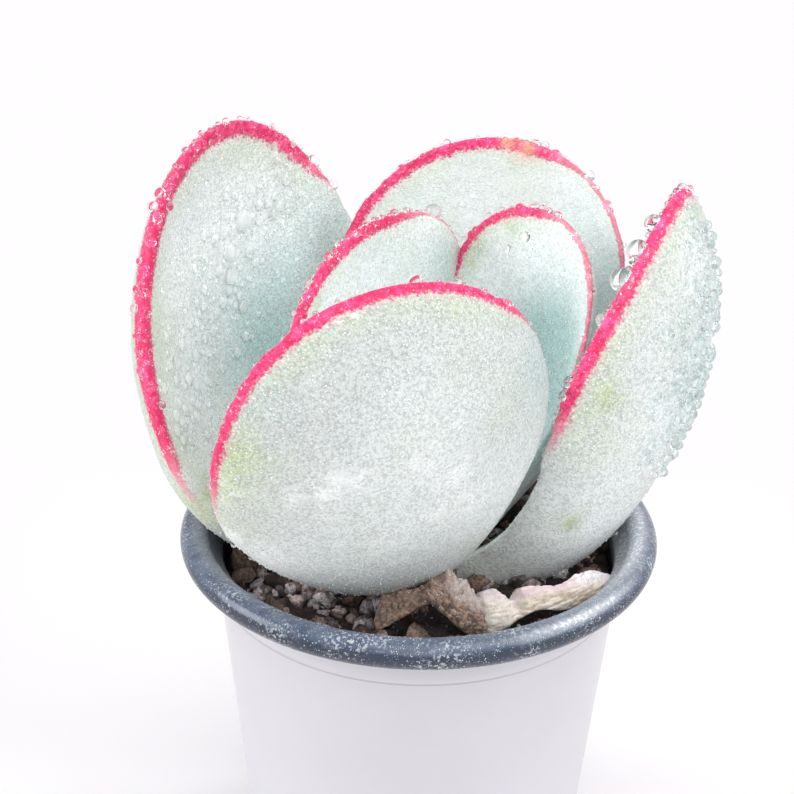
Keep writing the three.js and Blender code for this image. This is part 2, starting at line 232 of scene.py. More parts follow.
# Large drops: share of the length, share of the half width, face, radius in millimetres. Those nearer the
# midrib than BLADE_SHARE lie flat on the blade, and the others stand round on the margin.
BLADE_SHARE = 0.86
LARGE_DROPS = {
    "leaf_front": [(0.999, 0.1, 1, 0.8), (0.985, -0.9, 1, 0.62)],
    "leaf_left": [
        (0.97, -0.98, 1, 0.55), (0.9, -1.0, 1, 0.5), (0.86, -1.0, -1, 0.55), (0.82, -1.0, -1, 0.6),
        (0.9, 0.98, 1, 0.95), (0.84, 1.0, 1, 0.85), (0.79, 0.17, 1, 1.45), (0.73, 0.04, 1, 1.15),
        (0.68, 0.04, 1, 1.2), (0.85, 0.26, 1, 0.9), (0.56, -0.61, 1, 0.95), (0.61, 0.09, 1, 0.6),
        (0.69, 0.3, 1, 0.5), (0.79, 0.42, 1, 0.45), (0.72, 0.22, 1, 0.45), (0.54, 0.1, 1, 0.4),
    ],
    "leaf_back": [
        (0.985, 0.5, 1, 0.95), (0.99, 0.1, 1, 0.75), (0.99, 0.72, -1, 0.9), (0.97, 0.9, 1, 0.85),
        (0.93, 1.0, 1, 0.75), (0.985, 0.3, 1, 0.65), (0.99, 0.9, 1, 0.7),
    ],
    "leaf_right": [
        (0.97, 1.0, 1, 1.1), (0.93, 1.0, 1, 1.35), (0.88, 1.0, 1, 1.45), (0.8, 1.0, 1, 0.8),
        (0.64, 1.0, 1, 0.7), (0.6, 1.0, -1, 0.55),
    ],
    "leaf_inner_left": [
        (0.93, 1.0, 1, 1.05), (0.985, -0.3, 1, 0.6), (0.97, -0.9, 1, 0.5), (0.9, -1.0, 1, 0.45),
    ],
    "leaf_inner_right": [
        (0.97, -0.9, 1, 0.7), (0.9, -1.0, 1, 0.5), (0.8, -1.0, 1, 0.5), (0.98, 0.9, 1, 0.55),
        (0.9, -0.35, 1, 0.7), (0.84, -0.5, 1, 0.5), (0.8, -0.8, 1, 0.45),
    ],
}

# Bands where drops gather on a face of a leaf, along the line v = slope times (u - at): the half width in
# v, the stretch of u, the least and largest radius in millimetres, and how tall the drops are
LENS_BANDS = {
    "leaf_left": dict(
        face=1, count=480, at=0.67, slope=2.9, width=0.3, low=0.32, high=0.96, radii=(0.2, 0.85),
        tall=0.55, seed=77,
    ),
    "leaf_right": dict(
        face=-1, count=560, at=0.2, slope=0.15, width=0.32, low=0.42, high=1.02, radii=(0.24, 0.78),
        tall=0.95, seed=78,
    ),
}

# Seeds of random draws, the first of each kind
LUMP_SEED = 100
DEW_SEED = 700
RIM_MIST_SEED = 31
DRIED_MIST_SEED = 51

# Dried leaves, in millimetres and degrees: a crumpled sheet arched over an axis from start to end. heights
# lists places along the axis with the arch's height there, depth is its half depth over its height, and
# bow how far the axis swings forward halfway. The sheet covers the angles from first to last, with 0 at
# the front. Its front border is lifted by an angle about one place, and curl raises the back one.
DRIED = {
    "dried_leaf_brown": dict(
        start=(-5.4, -16.5, 47.5), end=(9.5, -17.2, 47.5), bow=0, depth=0.42,
        heights=((0, 0.6), (0.07, 4.2), (0.13, 4.4), (0.2, 5.4), (0.3, 5.5), (0.4, 6.3), (0.46, 7.3),
                 (0.52, 6.7), (0.58, 7.2), (0.66, 5.7), (0.72, 5.7), (0.8, 4.3), (0.87, 3.7),
                 (0.95, 1.9), (1, 0.4)),
        first=-2, last=122, lift=46, lift_at=0.4, lift_width=0.33, curl=0, curl_at=0.5,
        sheet=1.0, crumple=0.12, waves=5, wrinkle=0.4, grain=0.6, across=0.6, seed=5,
    ),
    "dried_leaf_pale": dict(
        start=(6.0, -16.8, 47.9), end=(24.3, -7.6, 49.3), bow=1.7, depth=0.6,
        heights=((0, 1.4), (0.07, 4.0), (0.17, 4.2), (0.25, 2.4), (0.3, 3.8), (0.42, 3.5),
                 (0.55, 2.7), (0.7, 2.4), (0.85, 1.5), (1, 0.3)),
        first=8, last=150, lift=26, lift_at=0.36, lift_width=0.16, curl=1.2, curl_at=0.8,
        sheet=0.6, crumple=0.05, waves=3, wrinkle=0.24, grain=2.6, across=0.8, seed=9,
    ),
}

# Colours that no setting holds
WHITE = (1, 1, 1)
MIST_WHITE = (0.95, 0.97, 0.965)
SCUFF_WHITE = (0.98, 0.99, 0.99)
FROST_WHITE = (0.93, 0.92, 0.95)
GLINT_PINK = (0.98, 0.6, 0.68)
WINE_RED = (0.58, 0.004, 0.07)
RUST = (0.86, 0.3, 0.2)
# Painted shadow line under the pot's shoulder
SHOULDER_SHADOW = (0.16, 0.13, 0.12)
CORK = (0.22, 0.17, 0.12)
MILKY_TINT = (0.96, 0.985, 0.98)
SIDE_TINT = (0.91, 0.958, 0.958)

# Lamps: azimuth, elevation and angular width in degrees, and share of the lamp strength
LAMPS = {
    "front": (0, 28, 30, 0.27),
    "top": (12, 68, 50, 0.6),
    "left": (-84, 22, 36, 1.0),
    "right": (68, 34, 40, 0.67),
    "window": (112, 45, 8, 0.2),
}
FLOOR_RADII = (0.02, 0.1, 0.3, 1, 3, 8)
FLOOR_AROUND = 96

# Camera: lens and sensor in millimetres, elevation and roll in degrees, the rest in metres
CAMERA_LENS = 75
CAMERA_SENSOR = 36
CAMERA_ELEVATION = 25.2
CAMERA_ROLL = 0.8
CAMERA_TARGET = (-2.95 * MM, 0.0, 70.3 * MM)
CAMERA_DISTANCE = 202 * MM
CAMERA_CLIP = (0.01, 50)


# Mesh building

def build_mesh(name, points, faces, materials, body="root"):
    """Mesh object from an (n, 3) array of points and a list of face arrays, one row of corners a face."""
    mesh = bpy.data.meshes.new(name)
    corners = np.concatenate([f.ravel() for f in faces])
    totals = np.concatenate([np.full(len(f), f.shape[1]) for f in faces])
    mesh.vertices.add(len(points))
    mesh.vertices.foreach_set("co", np.ascontiguousarray(points, np.float32).ravel())
    mesh.loops.add(len(corners))
    mesh.loops.foreach_set("vertex_index", corners.astype(np.int32))
    mesh.polygons.add(len(totals))
    mesh.polygons.foreach_set("loop_start", (np.cumsum(totals) - totals).astype(np.int32))
    mesh.update(calc_edges=True)
    mesh.validate()
    mesh.shade_smooth()
    piece = bpy.data.objects.new(name, mesh)
    for material in materials:
        mesh.materials.append(material)
    bpy.context.scene.collection.objects.link(piece)
    if body:
        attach(piece, body)
    return piece


def ring_faces(rows, around):
    """Quads between neighbouring rings of a (rows, around) grid, and a fan of triangles at each end.

    The fans use two more points, which follow the grid's own: the middle of the first ring and of the last.
    """
    i = np.arange(rows - 1)[:, None] * around
    j = np.arange(around)[None, :]
    k = (j + 1) % around
    quads = np.stack([i + j, i + k, i + around + k, i + around + j], -1).reshape(-1, 4)
    first = np.stack([np.full(around, rows * around), k[0], j[0]], -1)
    last_row = (rows - 1) * around
    last = np.stack([np.full(around, rows * around + 1), last_row + j[0], last_row + k[0]], -1)
    return [quads, np.concatenate([first, last])]


def ring_points(grid):
    """The points of a (rows, around, 3) grid with the middles of its first and last ring after them."""
    return np.concatenate([grid.reshape(-1, 3), grid[[0, -1]].mean(1)])


def ring_piece(name, grid, materials, node, flip=False):
    """A closed surface through the rings of a grid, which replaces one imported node."""
    faces = ring_faces(*grid.shape[:2])
    if flip:
        faces = [np.flip(f, 1) for f in faces]
    piece = build_mesh(name, ring_points(grid), faces, materials)
    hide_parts(node)
    return piece


def many_closed(name, grids, material):
    """One piece from many small closed ring surfaces, given as a (count, rows, around, 3) array."""
    count, rows, around, _ = grids.shape
    points = np.concatenate([grids.reshape(count, -1, 3), grids[:, [0, -1]].mean(2)], 1)
    offsets = (np.arange(count) * (rows * around + 2))[:, None, None]
    faces = [(f[None] + offsets).reshape(-1, f.shape[1]) for f in ring_faces(rows, around)]
    piece = build_mesh(name, points.reshape(-1, 3), faces, [material])
    return piece


def store(piece, **values):
    """Stores numbers on a mesh's points. Those of a grid get the means of its first and last ring added."""
    for name, numbers in values.items():
        if numbers.ndim > 1:
            numbers = np.concatenate([numbers.ravel(), numbers[[0, -1]].mean(1)])
        attribute = piece.data.attributes.new(name, "FLOAT", "POINT")
        attribute.data.foreach_set("value", np.ascontiguousarray(numbers, np.float32))


def turned(profile, around):
    """Surface of revolution: each (radius, height) of the profile carried once round the Z axis."""
    turn = np.linspace(0, math.tau, around, endpoint=False)
    r, z = np.asarray(profile, float).T
    x = r[:, None] * np.cos(turn)
    y = r[:, None] * np.sin(turn)
    return np.stack([x, y, np.broadcast_to(z[:, None], x.shape)], -1)


def unit(vectors):
    """Vectors scaled to a length of 1."""
    return vectors / np.maximum(np.linalg.norm(vectors, axis=-1, keepdims=True), 1e-12)


def smoothstep(low, high, x):
    """0 below low, 1 above high and a smooth cubic between."""
    t = np.clip((x - low) / (high - low), 0, 1)
    return t * t * (3 - 2 * t)


def bell(x, middle, width):
    """Bell curve: 1 at the middle, falling off over the width."""
    return np.exp(-((x - middle) / width) ** 2)


def waves(points, wavelength, seed, count=7):
    """Smooth noise between about -1 and 1: the mean of sine waves in seeded directions of one wavelength."""
    rng = np.random.default_rng(seed)
    directions = unit(rng.normal(size=(count, 3)))
    steps = directions * (math.tau / wavelength) * rng.uniform(0.7, 1.4, (count, 1))
    return np.sin(points @ steps.T + rng.uniform(0, math.tau, count)).mean(-1) * 1.6


# Materials

def put(tree, kind, inputs, output=0, **settings):
    """Adds a node with its settings and inputs, where a plain colour is opaque, and returns an output."""
    node = tree.nodes.new("ShaderNode" + kind)
    for key, value in settings.items():
        setattr(node, key, value)
    for key, value in inputs.items():
        if isinstance(value, Value):
            tree.links.new(value.socket, node.inputs[key])
        else:
            node.inputs[key].default_value = (*value, 1.0) if np.ndim(value) else value
    return Value(node.outputs[output])


class Value:
    """A number or colour that varies over a surface. Arithmetic on it adds the nodes that work it out."""

    def __init__(self, socket):
        self.socket = socket

    def through(self, kind, inputs, output=0, **settings):
        """Output of a new node beside this one's."""
        return put(self.socket.id_data, kind, inputs, output, **settings)

    def calculate(self, operation, other=0.0):
        """This value and another number or value."""
        return self.through("Math", {0: self, 1: other}, operation=operation)

    def __add__(self, other):
        return self.calculate("ADD", other)

    def __sub__(self, other):
        return self.calculate("SUBTRACT", other)

    def __mul__(self, other):
        return self.calculate("MULTIPLY", other)

    def __abs__(self):
        return self.calculate("ABSOLUTE")

    def most(self, other):
        """The larger of this value and another."""
        return self.calculate("MAXIMUM", other)

    def clamped(self):
        """The value kept between 0 and 1."""
        self.socket.node.use_clamp = True
        return self

    def step(self, low, high, to_low=0.0, to_high=1.0):
        """Smooth step of the value from to_low at low to to_high at high."""
        inputs = {0: self, 1: low, 2: high, 3: to_low, 4: to_high}
        return self.through("MapRange", inputs, interpolation_type="SMOOTHSTEP")

    def blend(self, a, b):
        """Colour a where this share is 0, colour b where it is 1."""
        return self.through("Mix", {0: self, 6: a, 7: b}, 2, data_type="RGBA")

    def brighter(self, factor):
        """The colour with its brightness multiplied."""
        return self.through("HueSaturation", {"Value": factor, "Color": self})

    def bump(self, distance, strength, under=None):
        """Surface relief from this height, in metres, over another relief if one is given."""
        inputs = {"Height": self, "Distance": distance, "Strength": strength}
        if under is not None:
            inputs["Normal"] = under
        return self.through("Bump", inputs)


class Surface:
    """A material with one principled shader, whose plain values are set on its own sockets."""

    def __init__(self, name, **values):
        self.material = bpy.data.materials.new(name)
        self.material.use_nodes = True
        self.tree = self.material.node_tree
        self.shader = self.tree.nodes["Principled BSDF"]
        for key, value in values.items():
            self.shader.inputs[key.replace("_", " ")].default_value = value

    @cached_property
    def point(self):
        """The point on the piece, in object coordinates."""
        return put(self.tree, "TexCoord", {}, "Object")

    def stored(self, name):
        """A number stored on the mesh."""
        return put(self.tree, "Attribute", {}, "Fac", attribute_name=name)

    def noise(self, scale, detail=3.0, roughness=0.55):
        """Cloudy noise from 0 to 1. scale is in waves a metre."""
        inputs = {"Vector": self.point, "Scale": scale, "Detail": detail, "Roughness": roughness}
        return put(self.tree, "TexNoise", inputs, "Fac")

    def cells(self, scale):
        """Distance to the nearest of a scatter of points. scale is in points a metre."""
        return put(self.tree, "TexVoronoi", {"Vector": self.point, "Scale": scale}, "Distance")

    def done(self, colour, roughness=None, normal=None):
        """Links what varies over the surface to the shader, and returns the material."""
        for key, value in (("Base Color", colour), ("Roughness", roughness), ("Normal", normal)):
            if value is not None:
                self.tree.links.new(value.socket, self.shader.inputs[key])
        return self.material


def leaf_material(look):
    """Waxy bloom over a mint leaf: greener where thin, grained with white mist, red along the margin, paler
    with painted light on the inner face and in patches, and bluish with painted shade in the hollows.
    """
    leaf = Surface(
        "leaf_bloom", Subsurface_Weight=0.15, Subsurface_Scale=0.003, Subsurface_Radius=(1.0, 0.8, 0.65)
    )
    edge, vivid, deep = [leaf.stored(name) for name in ("edge", "vivid", "painted_hollow_shade")]
    mottle = leaf.noise(620)
    fine = leaf.noise(2700, 2)
    granular = leaf.noise(1300, 3, 0.7)
    beads = leaf.cells(look.mist_scale).step(0.38, 0.16) * leaf.noise(1300, 2).step(0.35, 0.62, 0.35)
    small_beads = leaf.cells(look.mist_scale * 1.9).step(0.5, 0.15)

    thin = leaf.noise(110, 4).step(0.45, 0.78) * 0.3
    thin = (thin + (leaf.stored("thin_bloom") + edge.step(4.5, 1.5) * (vivid * 0.35))).clamped()
    thin = thin * mottle.step(0.3, 0.6, 0.5)
    # Painted light and shade: the lit share takes the pale inner-face bloom, the rest the darker outer-face
    # bloom
    colour = leaf.stored("bright_bloom").blend(look.bloom_outer_shaded, look.bloom_inner_lit)
    # Greener where the bloom is thin; painted shade makes the hollows bluish and darker
    colour = deep.blend(thin.blend(colour, look.flesh), look.deep)
    shade = (fine.step(0.36, 0.6, 0.76, 1.04) - 1.0) * leaf.stored("grain")
    colour = colour.brighter(shade + mottle.step(0.3, 0.7, 0.95, 1.03))
    # Fewer white beads show in the painted shade
    white = beads.most(small_beads * 0.45) * deep.step(0.0, 1.0, 0.9, 0.75)
    colour = white.blend(colour, MIST_WHITE)

    lines = abs(leaf.noise(380, 4) - 0.5).step(0.06, 0.015) * fine.step(0.38, 0.52)
    lines = lines.most(mottle.step(0.4, 0.62, 0.12, 0.6)) * leaf.stored("scuffed")
    colour = (lines.clamped() * 0.85).blend(colour, SCUFF_WHITE)

    ragged = edge + mottle * 0.6 + fine * 1.1
    core = ragged.step(2.2, 1.72) * vivid
    halo = ragged.step(2.75, 1.8, 0.0, 0.3) * vivid
    red = granular.step(0.36, 0.64).blend(look.margin, look.margin_light)
    red = (leaf.noise(2100, 2).step(0.6, 0.72) * 0.4).blend(red, GLINT_PINK)
    red = (leaf.noise(240, 2).step(0.44, 0.6) * 0.36).blend(red, WINE_RED)
    colour = core.blend(halo.blend(colour, look.blush), red)
    rust = leaf.stored("rusty") * mottle.step(0.35, 0.55, 0.3, 0.9)
    colour = rust.blend(colour, RUST)

    relief = small_beads.bump(0.06 * MM, 0.6, beads.bump(0.12 * MM, 0.7))
    relief = fine.bump(0.07 * MM, 0.5, relief)
    relief = (granular * core).bump(0.4 * MM, 0.8, relief)
    return leaf.done(colour, beads.step(0.2, 0.9, 0.6, 0.28), relief)


def water_material(name="dew_water", clear=1.0, tint=WHITE, shadow=0.0):
    """Water, clear or a little milky. Lamps shine through it to the leaf, all but the shadow's share."""
    water = Surface(name, Transmission_Weight=clear, IOR=1.33, Roughness=0.02, Base_Color=(*tint, 1.0))
    lit = put(water.tree, "LightPath", {}, "Is Shadow Ray") * (1.0 - shadow)
    open_way = put(water.tree, "BsdfTransparent", {})
    mixed = put(water.tree, "MixShader", {0: lit, 1: Value(water.shader.outputs[0]), 2: open_way})
    water.tree.links.new(mixed.socket, water.tree.nodes["Material Output"].inputs["Surface"])
    return water.material


def mist_material(look):
    """Tiny droplets, too small to see through, that catch the light."""
    mist = Surface("mist_beads", Roughness=0.12, IOR=1.33, Alpha=0.75)
    return mist.done(mist.noise(900).blend(look.mist, WHITE))


def wall_material(pot):
    """Smooth white plastic with a faint moulded haze and a thin painted shadow line under the shoulder."""
    wall = Surface(
        "pot_white_plastic", Subsurface_Weight=0.08, Subsurface_Scale=0.002,
        Roughness=0.3, Specular_IOR_Level=0.9,
    )
    colour = wall.noise(60).step(0.35, 0.7).blend(pot.wall_colour, pot.wall_shade)
    above = put(wall.tree, "SeparateXYZ", {0: wall.point}, "Z") - SHOULDER_SHADOW_HEIGHT
    # Painted shadow: a thin dark line just under the shoulder step
    return wall.done(abs(above).step(0.17 * MM, 0.05 * MM, 0.0, 0.4).blend(colour, SHOULDER_SHADOW))


def rim_material(pot):
    """Slate blue plastic with painted shade darker below, dusted pale in patches, dotted with dried mist of
    mixed sizes, and marked with a painted highlight stripe.
    """
    rim = Surface("pot_slate_plastic")
    grit = rim.noise(2400).step(0.5, 0.62)
    dust = rim.noise(170, 4).step(0.42, 0.7) * grit * 0.6
    for scale, size in ((1900, 0.2), (3600, 0.26)):
        dots = rim.cells(scale).step(size, size * 0.4)
        dust = dust.most(dots * rim.noise(scale * 0.5, 2).step(0.42, 0.66, 0.0, 0.75))
    # The stored pale share adds frost, the painted light on the left side and the painted highlight stripe
    dust = dust.most(rim.stored("frost") * grit.step(0.0, 1.0, 0.6, 1.1)).clamped()
    # Painted shade: the bead's underside is darker and keeps little of the paler slate
    under = rim.stored("underside")
    tone = rim.noise(520, 4, 0.65).step(0.35, 0.7) * under.step(0.0, 1.0, 1.0, 0.2)
    colour = tone.blend(pot.rim_colour, pot.rim_light).brighter(under.step(0.25, 0.9, 1.0, 0.5))
    relief = rim.noise(900).bump(0.05 * MM, 0.3, dust.bump(0.06 * MM, 0.5))
    return rim.done(dust.blend(colour, pot.dust_and_highlight_colour), dust.step(0.0, 0.5, 0.2, 0.7), relief)


def soil_material(soil):
    """Dark crumbly potting mix: brown to black, with pale mineral flecks and a damp gloss in places."""
    earth = Surface("potting_soil")
    crumbs = earth.noise(1700, 4, 0.7)
    colour = earth.noise(420, 5, 0.65).step(0.35, 0.65).blend(soil.dark_colour, soil.brown_colour)
    flecks = earth.cells(900).step(0.16, 0.08) * earth.noise(260).step(0.5, 0.62)
    colour = flecks.blend(colour, soil.fleck_colour)
    return earth.done(colour, crumbs.step(0.35, 0.65, 0.55, 0.95), crumbs.bump(0.5 * MM, 0.8))


def grit_material(name, dark, light):
    """Stone or bark bits: two colours in patches and from bit to bit, rough, with pitted faces."""
    bit = Surface(name)
    patches = bit.noise(500, 4, 0.65)
    pits = bit.noise(2600, 4, 0.7)
    colour = (patches + bit.stored("shade") * 0.6).step(0.5, 1.05).blend(dark, light)
    colour = colour.brighter(pits.step(0.35, 0.65, 0.4, 1.4))
    relief = pits.bump(0.35 * MM, 0.9, patches.bump(0.6 * MM, 0.8))
    return bit.done(colour, pits.step(0.3, 0.7, 0.6, 0.95), relief)


def dried_material(name, light, dark, ridge_colour, frost_amount):
    """Papery dead leaf: dark in its folds with painted shade over random blotches, tinted on the ridge, and
    dusted with pale bloom.

    The attribute fold is high on wrinkles, ridge on the top of the arch and frosted where bloom covers it.
    """
    leaf = Surface(name, Subsurface_Weight=0.08, Subsurface_Scale=0.001)
    blotches = leaf.noise(330, 5, 0.65)
    grain = leaf.noise(1500, 4, 0.7)
    # Painted shade: darker in the folds between wrinkle crests, mixed with random blotches and grain
    colour = (leaf.stored("fold") * 0.4 + blotches + grain).step(0.85, 1.6).blend(dark, light)
    colour = (leaf.stored("ridge") * 0.65).blend(colour, ridge_colour)
    frost = (leaf.stored("frosted") * frost_amount * grain.step(0.35, 0.6, 0.3)).clamped()
    relief = grain.bump(0.25 * MM, 0.8, blotches.bump(0.4 * MM, 0.7))
    return leaf.done(frost.blend(colour, FROST_WHITE), grain.step(0.3, 0.7, 0.55, 0.9), relief)


def stem_material(look):
    """Stout green stem with corky patches."""
    stem = Surface("stem_skin")
    cork = stem.noise(380, 4).step(0.4, 0.6)
    return stem.done(cork.blend(look.flesh, CORK), cork.step(0, 1, 0.5, 0.85), cork.bump(0.2 * MM, 0.6))


def floor_material(stage):
    """Plain pale studio paper, painted a touch paler near the pot: painted light that offsets the pot's
    shadow.
    """
    paper = Surface("studio_paper", Roughness=0.9)
    away = put(paper.tree, "VectorMath", {0: paper.point}, "Value", operation="LENGTH")
    return paper.done(away.step(0.03, 0.14).blend(stage.floor_near_lit, stage.floor_shade))


# Pot

def wall_outer(z):
    """Radius of the wall's outside at a height."""
    return WALL_TOP_RADIUS - WALL_TAPER * (BEAD_CENTRE_HEIGHT - z)


def wall_inner(z):
    """Radius of the wall's inside at a height."""
    return wall_outer(z) - WALL_THICKNESS


def line(a, b, count):
    """Points on a straight stretch of a profile, without its end."""
    share = np.linspace(0, 1, count, endpoint=False)[:, None]
    return [tuple(p) for p in np.asarray(a) * (1 - share) + np.asarray(b) * share]


def pot_profile():
    """Outer wall from the foot up to the bead, over the bead, and down the inside to the floor.

    Returns the points and the number of them that lie on the white outer wall.
    """
    foot = (wall_outer(0) - BASE_CHAMFER, 0.0)
    low = (wall_outer(BASE_CHAMFER), BASE_CHAMFER)
    below = (wall_outer(SHOULDER_HEIGHT) - SHOULDER_STEP, SHOULDER_HEIGHT - 0.5 * MM)
    above = (wall_outer(SHOULDER_HEIGHT), SHOULDER_HEIGHT)
    top = (WALL_TOP_RADIUS, BEAD_CENTRE_HEIGHT - 0.75 * MM)
    wall = [(foot[0] * share, 0.0) for share in (0.02, 0.5, 0.97)]
    wall += line(foot, low, 4) + line(low, below, 16) + line(below, above, 5) + line(above, top, 8)
    turn = np.radians(np.linspace(-130, 180, 44))
    out = BEAD_CENTRE_RADIUS + BEAD_RADIUS * np.cos(turn)
    bead = list(zip(out, BEAD_CENTRE_HEIGHT + BEAD_RADIUS * np.sin(turn)))
    inside_top = BEAD_CENTRE_HEIGHT - 1.5 * MM
    floor_edge = (wall_inner(FLOOR_THICKNESS) - 1 * MM, FLOOR_THICKNESS)
    inside = line((wall_inner(inside_top), inside_top), floor_edge, 20)
    inside += [(floor_edge[0] * share, FLOOR_THICKNESS) for share in (1.0, 0.5, 0.02)]
    return wall + bead + inside, len(wall)


def rim_frost(azimuth, tilt, z):
    """Share of pale cover on the rim: fine mist on its inner slope, most of all round the right-hand side,
    with painted light on the left-hand side and a painted highlight stripe at the front right.

    azimuth is the angle round the pot and tilt the one round the bead, both in radians.
    """
    inner = smoothstep(1.0, 2.2, tilt) + smoothstep(-2.0, -2.6, tilt)
    # The second bell is painted light that pales the rim's left-hand side
    frost_and_left_light = 0.1 + 1.3 * bell(azimuth, 0.15, 0.85) + 0.35 * bell(np.abs(azimuth), math.pi, 0.9)
    deep = smoothstep(BEAD_CENTRE_HEIGHT - 4.5 * MM, BEAD_CENTRE_HEIGHT - 2 * MM, z)
    # Painted highlight: a pale stripe along the bead at the front right
    painted_highlight = 1.1 * bell(azimuth, -0.86, 0.28) * bell(tilt, 1.0, 0.3)
    top = 0.17 * smoothstep(0.4, 1.2, tilt) * frost_and_left_light
    return np.clip(inner * frost_and_left_light * deep + painted_highlight + top, 0, 1)


class POT_OT_build(bpy.types.Operator):
    """Turns the pot on a lathe profile: white wall, slate rim and inside"""
    bl_idname = "succulent.pot"
    bl_label = "Pot"

    def execute(self, context):
        pot = context.scene.succulent_pot
        profile, white = pot_profile()
        grid = turned(profile, POT_AROUND)
        materials = [wall_material(pot), rim_material(pot)]
        piece = ring_piece("nursery_pot", grid, materials, "pot")
        # Slate from the bead inwards, with the fan of triangles that closes the inside
        indices = np.zeros(len(piece.data.polygons), np.int32)
        indices[white * POT_AROUND:(len(grid) - 1) * POT_AROUND] = 1
        indices[-POT_AROUND:] = 1
        piece.data.polygons.foreach_set("material_index", indices)
        x, y, z = np.moveaxis(grid, -1, 0)
        tilt = np.arctan2(z - BEAD_CENTRE_HEIGHT, np.hypot(x, y) - BEAD_CENTRE_RADIUS)
        # Pale share: frost, painted light and a painted highlight; the underside is painted shade
        frost = rim_frost(np.arctan2(y, x), tilt, z)
        store(piece, frost=frost, underside=smoothstep(0.95, 0.0, tilt))
        return {"FINISHED"}


# Soil

def linear_random(state):
    """The packed soil's own number rule: each state is the last times 1664525 plus 1013904223."""
    while True:
        state = (state * 1664525 + 1013904223) % 2 ** 32
        yield state / 2 ** 32


def soil_height(x, y):
    """Height over a place, in millimetres: an uneven level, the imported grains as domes, and fine crumbs."""
    random = linear_random(GRAIN_SEED)
    raised = np.zeros_like(x)
    for _ in range(GRAIN_COUNT):
        r = GRAIN_REACH * math.sqrt(next(random))
        turn = math.tau * next(random)
        size = 0.9 + 1.5 * next(random)
        top = 0.3 + 0.8 * next(random)
        away = ((x - r * math.cos(turn)) ** 2 + (y - r * math.sin(turn)) ** 2) / size ** 2
        raised = np.maximum(raised, top * np.sqrt(np.clip(1 - away, 0, 1)))
    level = SOIL_LEVEL + 0.25 * np.sin(0.35 * x + 1) * np.cos(0.3 * y)
    points = np.stack([x, y, np.zeros_like(x)], -1)
    crumbs = 0.22 * np.abs(waves(points, 1.5, 3)) + 0.14 * waves(points, 0.8, 4)
    return level + raised + crumbs


def scatter_bits(name, count, material):
    """Seeded bits resting on the soil: each is a low-poly ball, stretched, turned and knobbly.

    Most are small. Those under the dried leaves are tiny, so the hollow there stays dark.
    """
    least, largest, flat, seed = BITS[name]
    rng = np.random.default_rng(seed)
    r = BIT_REACH * np.sqrt(rng.random(count))
    turn = math.tau * rng.random(count)
    x = r * np.cos(turn)
    y = r * np.sin(turn)
    size = least + (largest - least) * rng.random(count) ** 2
    for middle_x, middle_y, wide, deep in HOLLOWS:
        under = ((x - middle_x) / wide) ** 2 + ((y - middle_y) / deep) ** 2 < 1
        size = np.where(under, HOLLOW_BIT, size)
    centre = np.stack([x, y, soil_height(x, y) + size * rng.uniform(-0.15, 0.3, count)], -1)
    axes = np.linalg.qr(rng.normal(size=(count, 3, 3)))[0]
    scale = np.stack([size, size * rng.uniform(0.45, 0.95, count), size * flat], -1) / 2
    around, rows = BIT_MESH
    theta = np.linspace(0.25, math.pi - 0.25, rows)[:, None]
    phi = np.linspace(0, math.tau, around, endpoint=False)[None, :]
    ball = np.stack([np.sin(theta) * np.cos(phi), np.sin(theta) * np.sin(phi),
                     np.cos(theta) * np.ones_like(phi)], -1)
    grid = ball[None] * rng.uniform(0.5, 1.25, (count, rows, around, 1)) * scale[:, None, None]
    grid = np.einsum("cijk,ckl->cijl", grid, axes) + centre[:, None, None]
    piece = many_closed(name, grid * MM, material)
    store(piece, shade=np.repeat(rng.random(count), around * rows + 2))


class SOIL_OT_build(bpy.types.Operator):
    """Potting soil: a crumbly height field over rings, closed below, with loose grit and bark on it"""
    bl_idname = "succulent.soil"
    bl_label = "Soil"

    def execute(self, context):
        soil = context.scene.succulent_soil
        low = (FLOOR_THICKNESS + GAP) / MM
        side = SOIL_LEVEL - 1
        edge = wall_inner(side * MM) / MM - SOIL_SIDE_GAP
        top = turned([(r, 0.0) for r in edge * np.linspace(1, 0.004, SOIL_ROWS)], SOIL_AROUND)
        top[..., 2] = soil_height(top[..., 0], top[..., 1])
        below = wall_inner(low * MM) / MM - SOIL_SIDE_GAP
        base = turned([(below - 1.2, low), (below, low + 1.2), (edge, side)], SOIL_AROUND)
        grid = np.concatenate([base, top]) * MM
        ring_piece("potting_soil", grid, [soil_material(soil)], "soil")
        grit = grit_material("mineral_grit_finish", soil.grit_dark, soil.grit_pale)
        bark = grit_material("bark_finish", soil.bark_dark, soil.bark_light)
        crumb = grit_material("crumb_finish", soil.crumb_dark, soil.crumb_light)
        scatter_bits("mineral_grit", soil.grit_count, grit)
        scatter_bits("bark_bits", soil.bark_count, bark)
        scatter_bits("pale_crumbs", soil.crumb_count, crumb)
        return {"FINISHED"}


# Stem

class STEM_OT_build(bpy.types.Operator):
    """Short stout stem with a domed top, ringed by leaf scars"""
    bl_idname = "succulent.stem"
    bl_label = "Stem"

    def execute(self, context):
        rise = np.linspace(STEM_FOOT, STEM_TOP - STEM_DOME, 36)
        scars = 0.12 * np.sin(rise * 2.6) - 0.12
        turn = np.radians(np.linspace(6, 84, 12))
        dome = zip(STEM_RADIUS * np.cos(turn) - 0.1, STEM_TOP - STEM_DOME + STEM_DOME * np.sin(turn))
        profile = [(STEM_RADIUS * 0.7, STEM_FOOT - 0.001), *zip(STEM_RADIUS + scars, rise), *dome]
        material = stem_material(context.scene.succulent_leaf)
        ring_piece("short_stem", turned(profile, STEM_AROUND) * MM, [material], "stem")
        return {"FINISHED"}


# Leaves

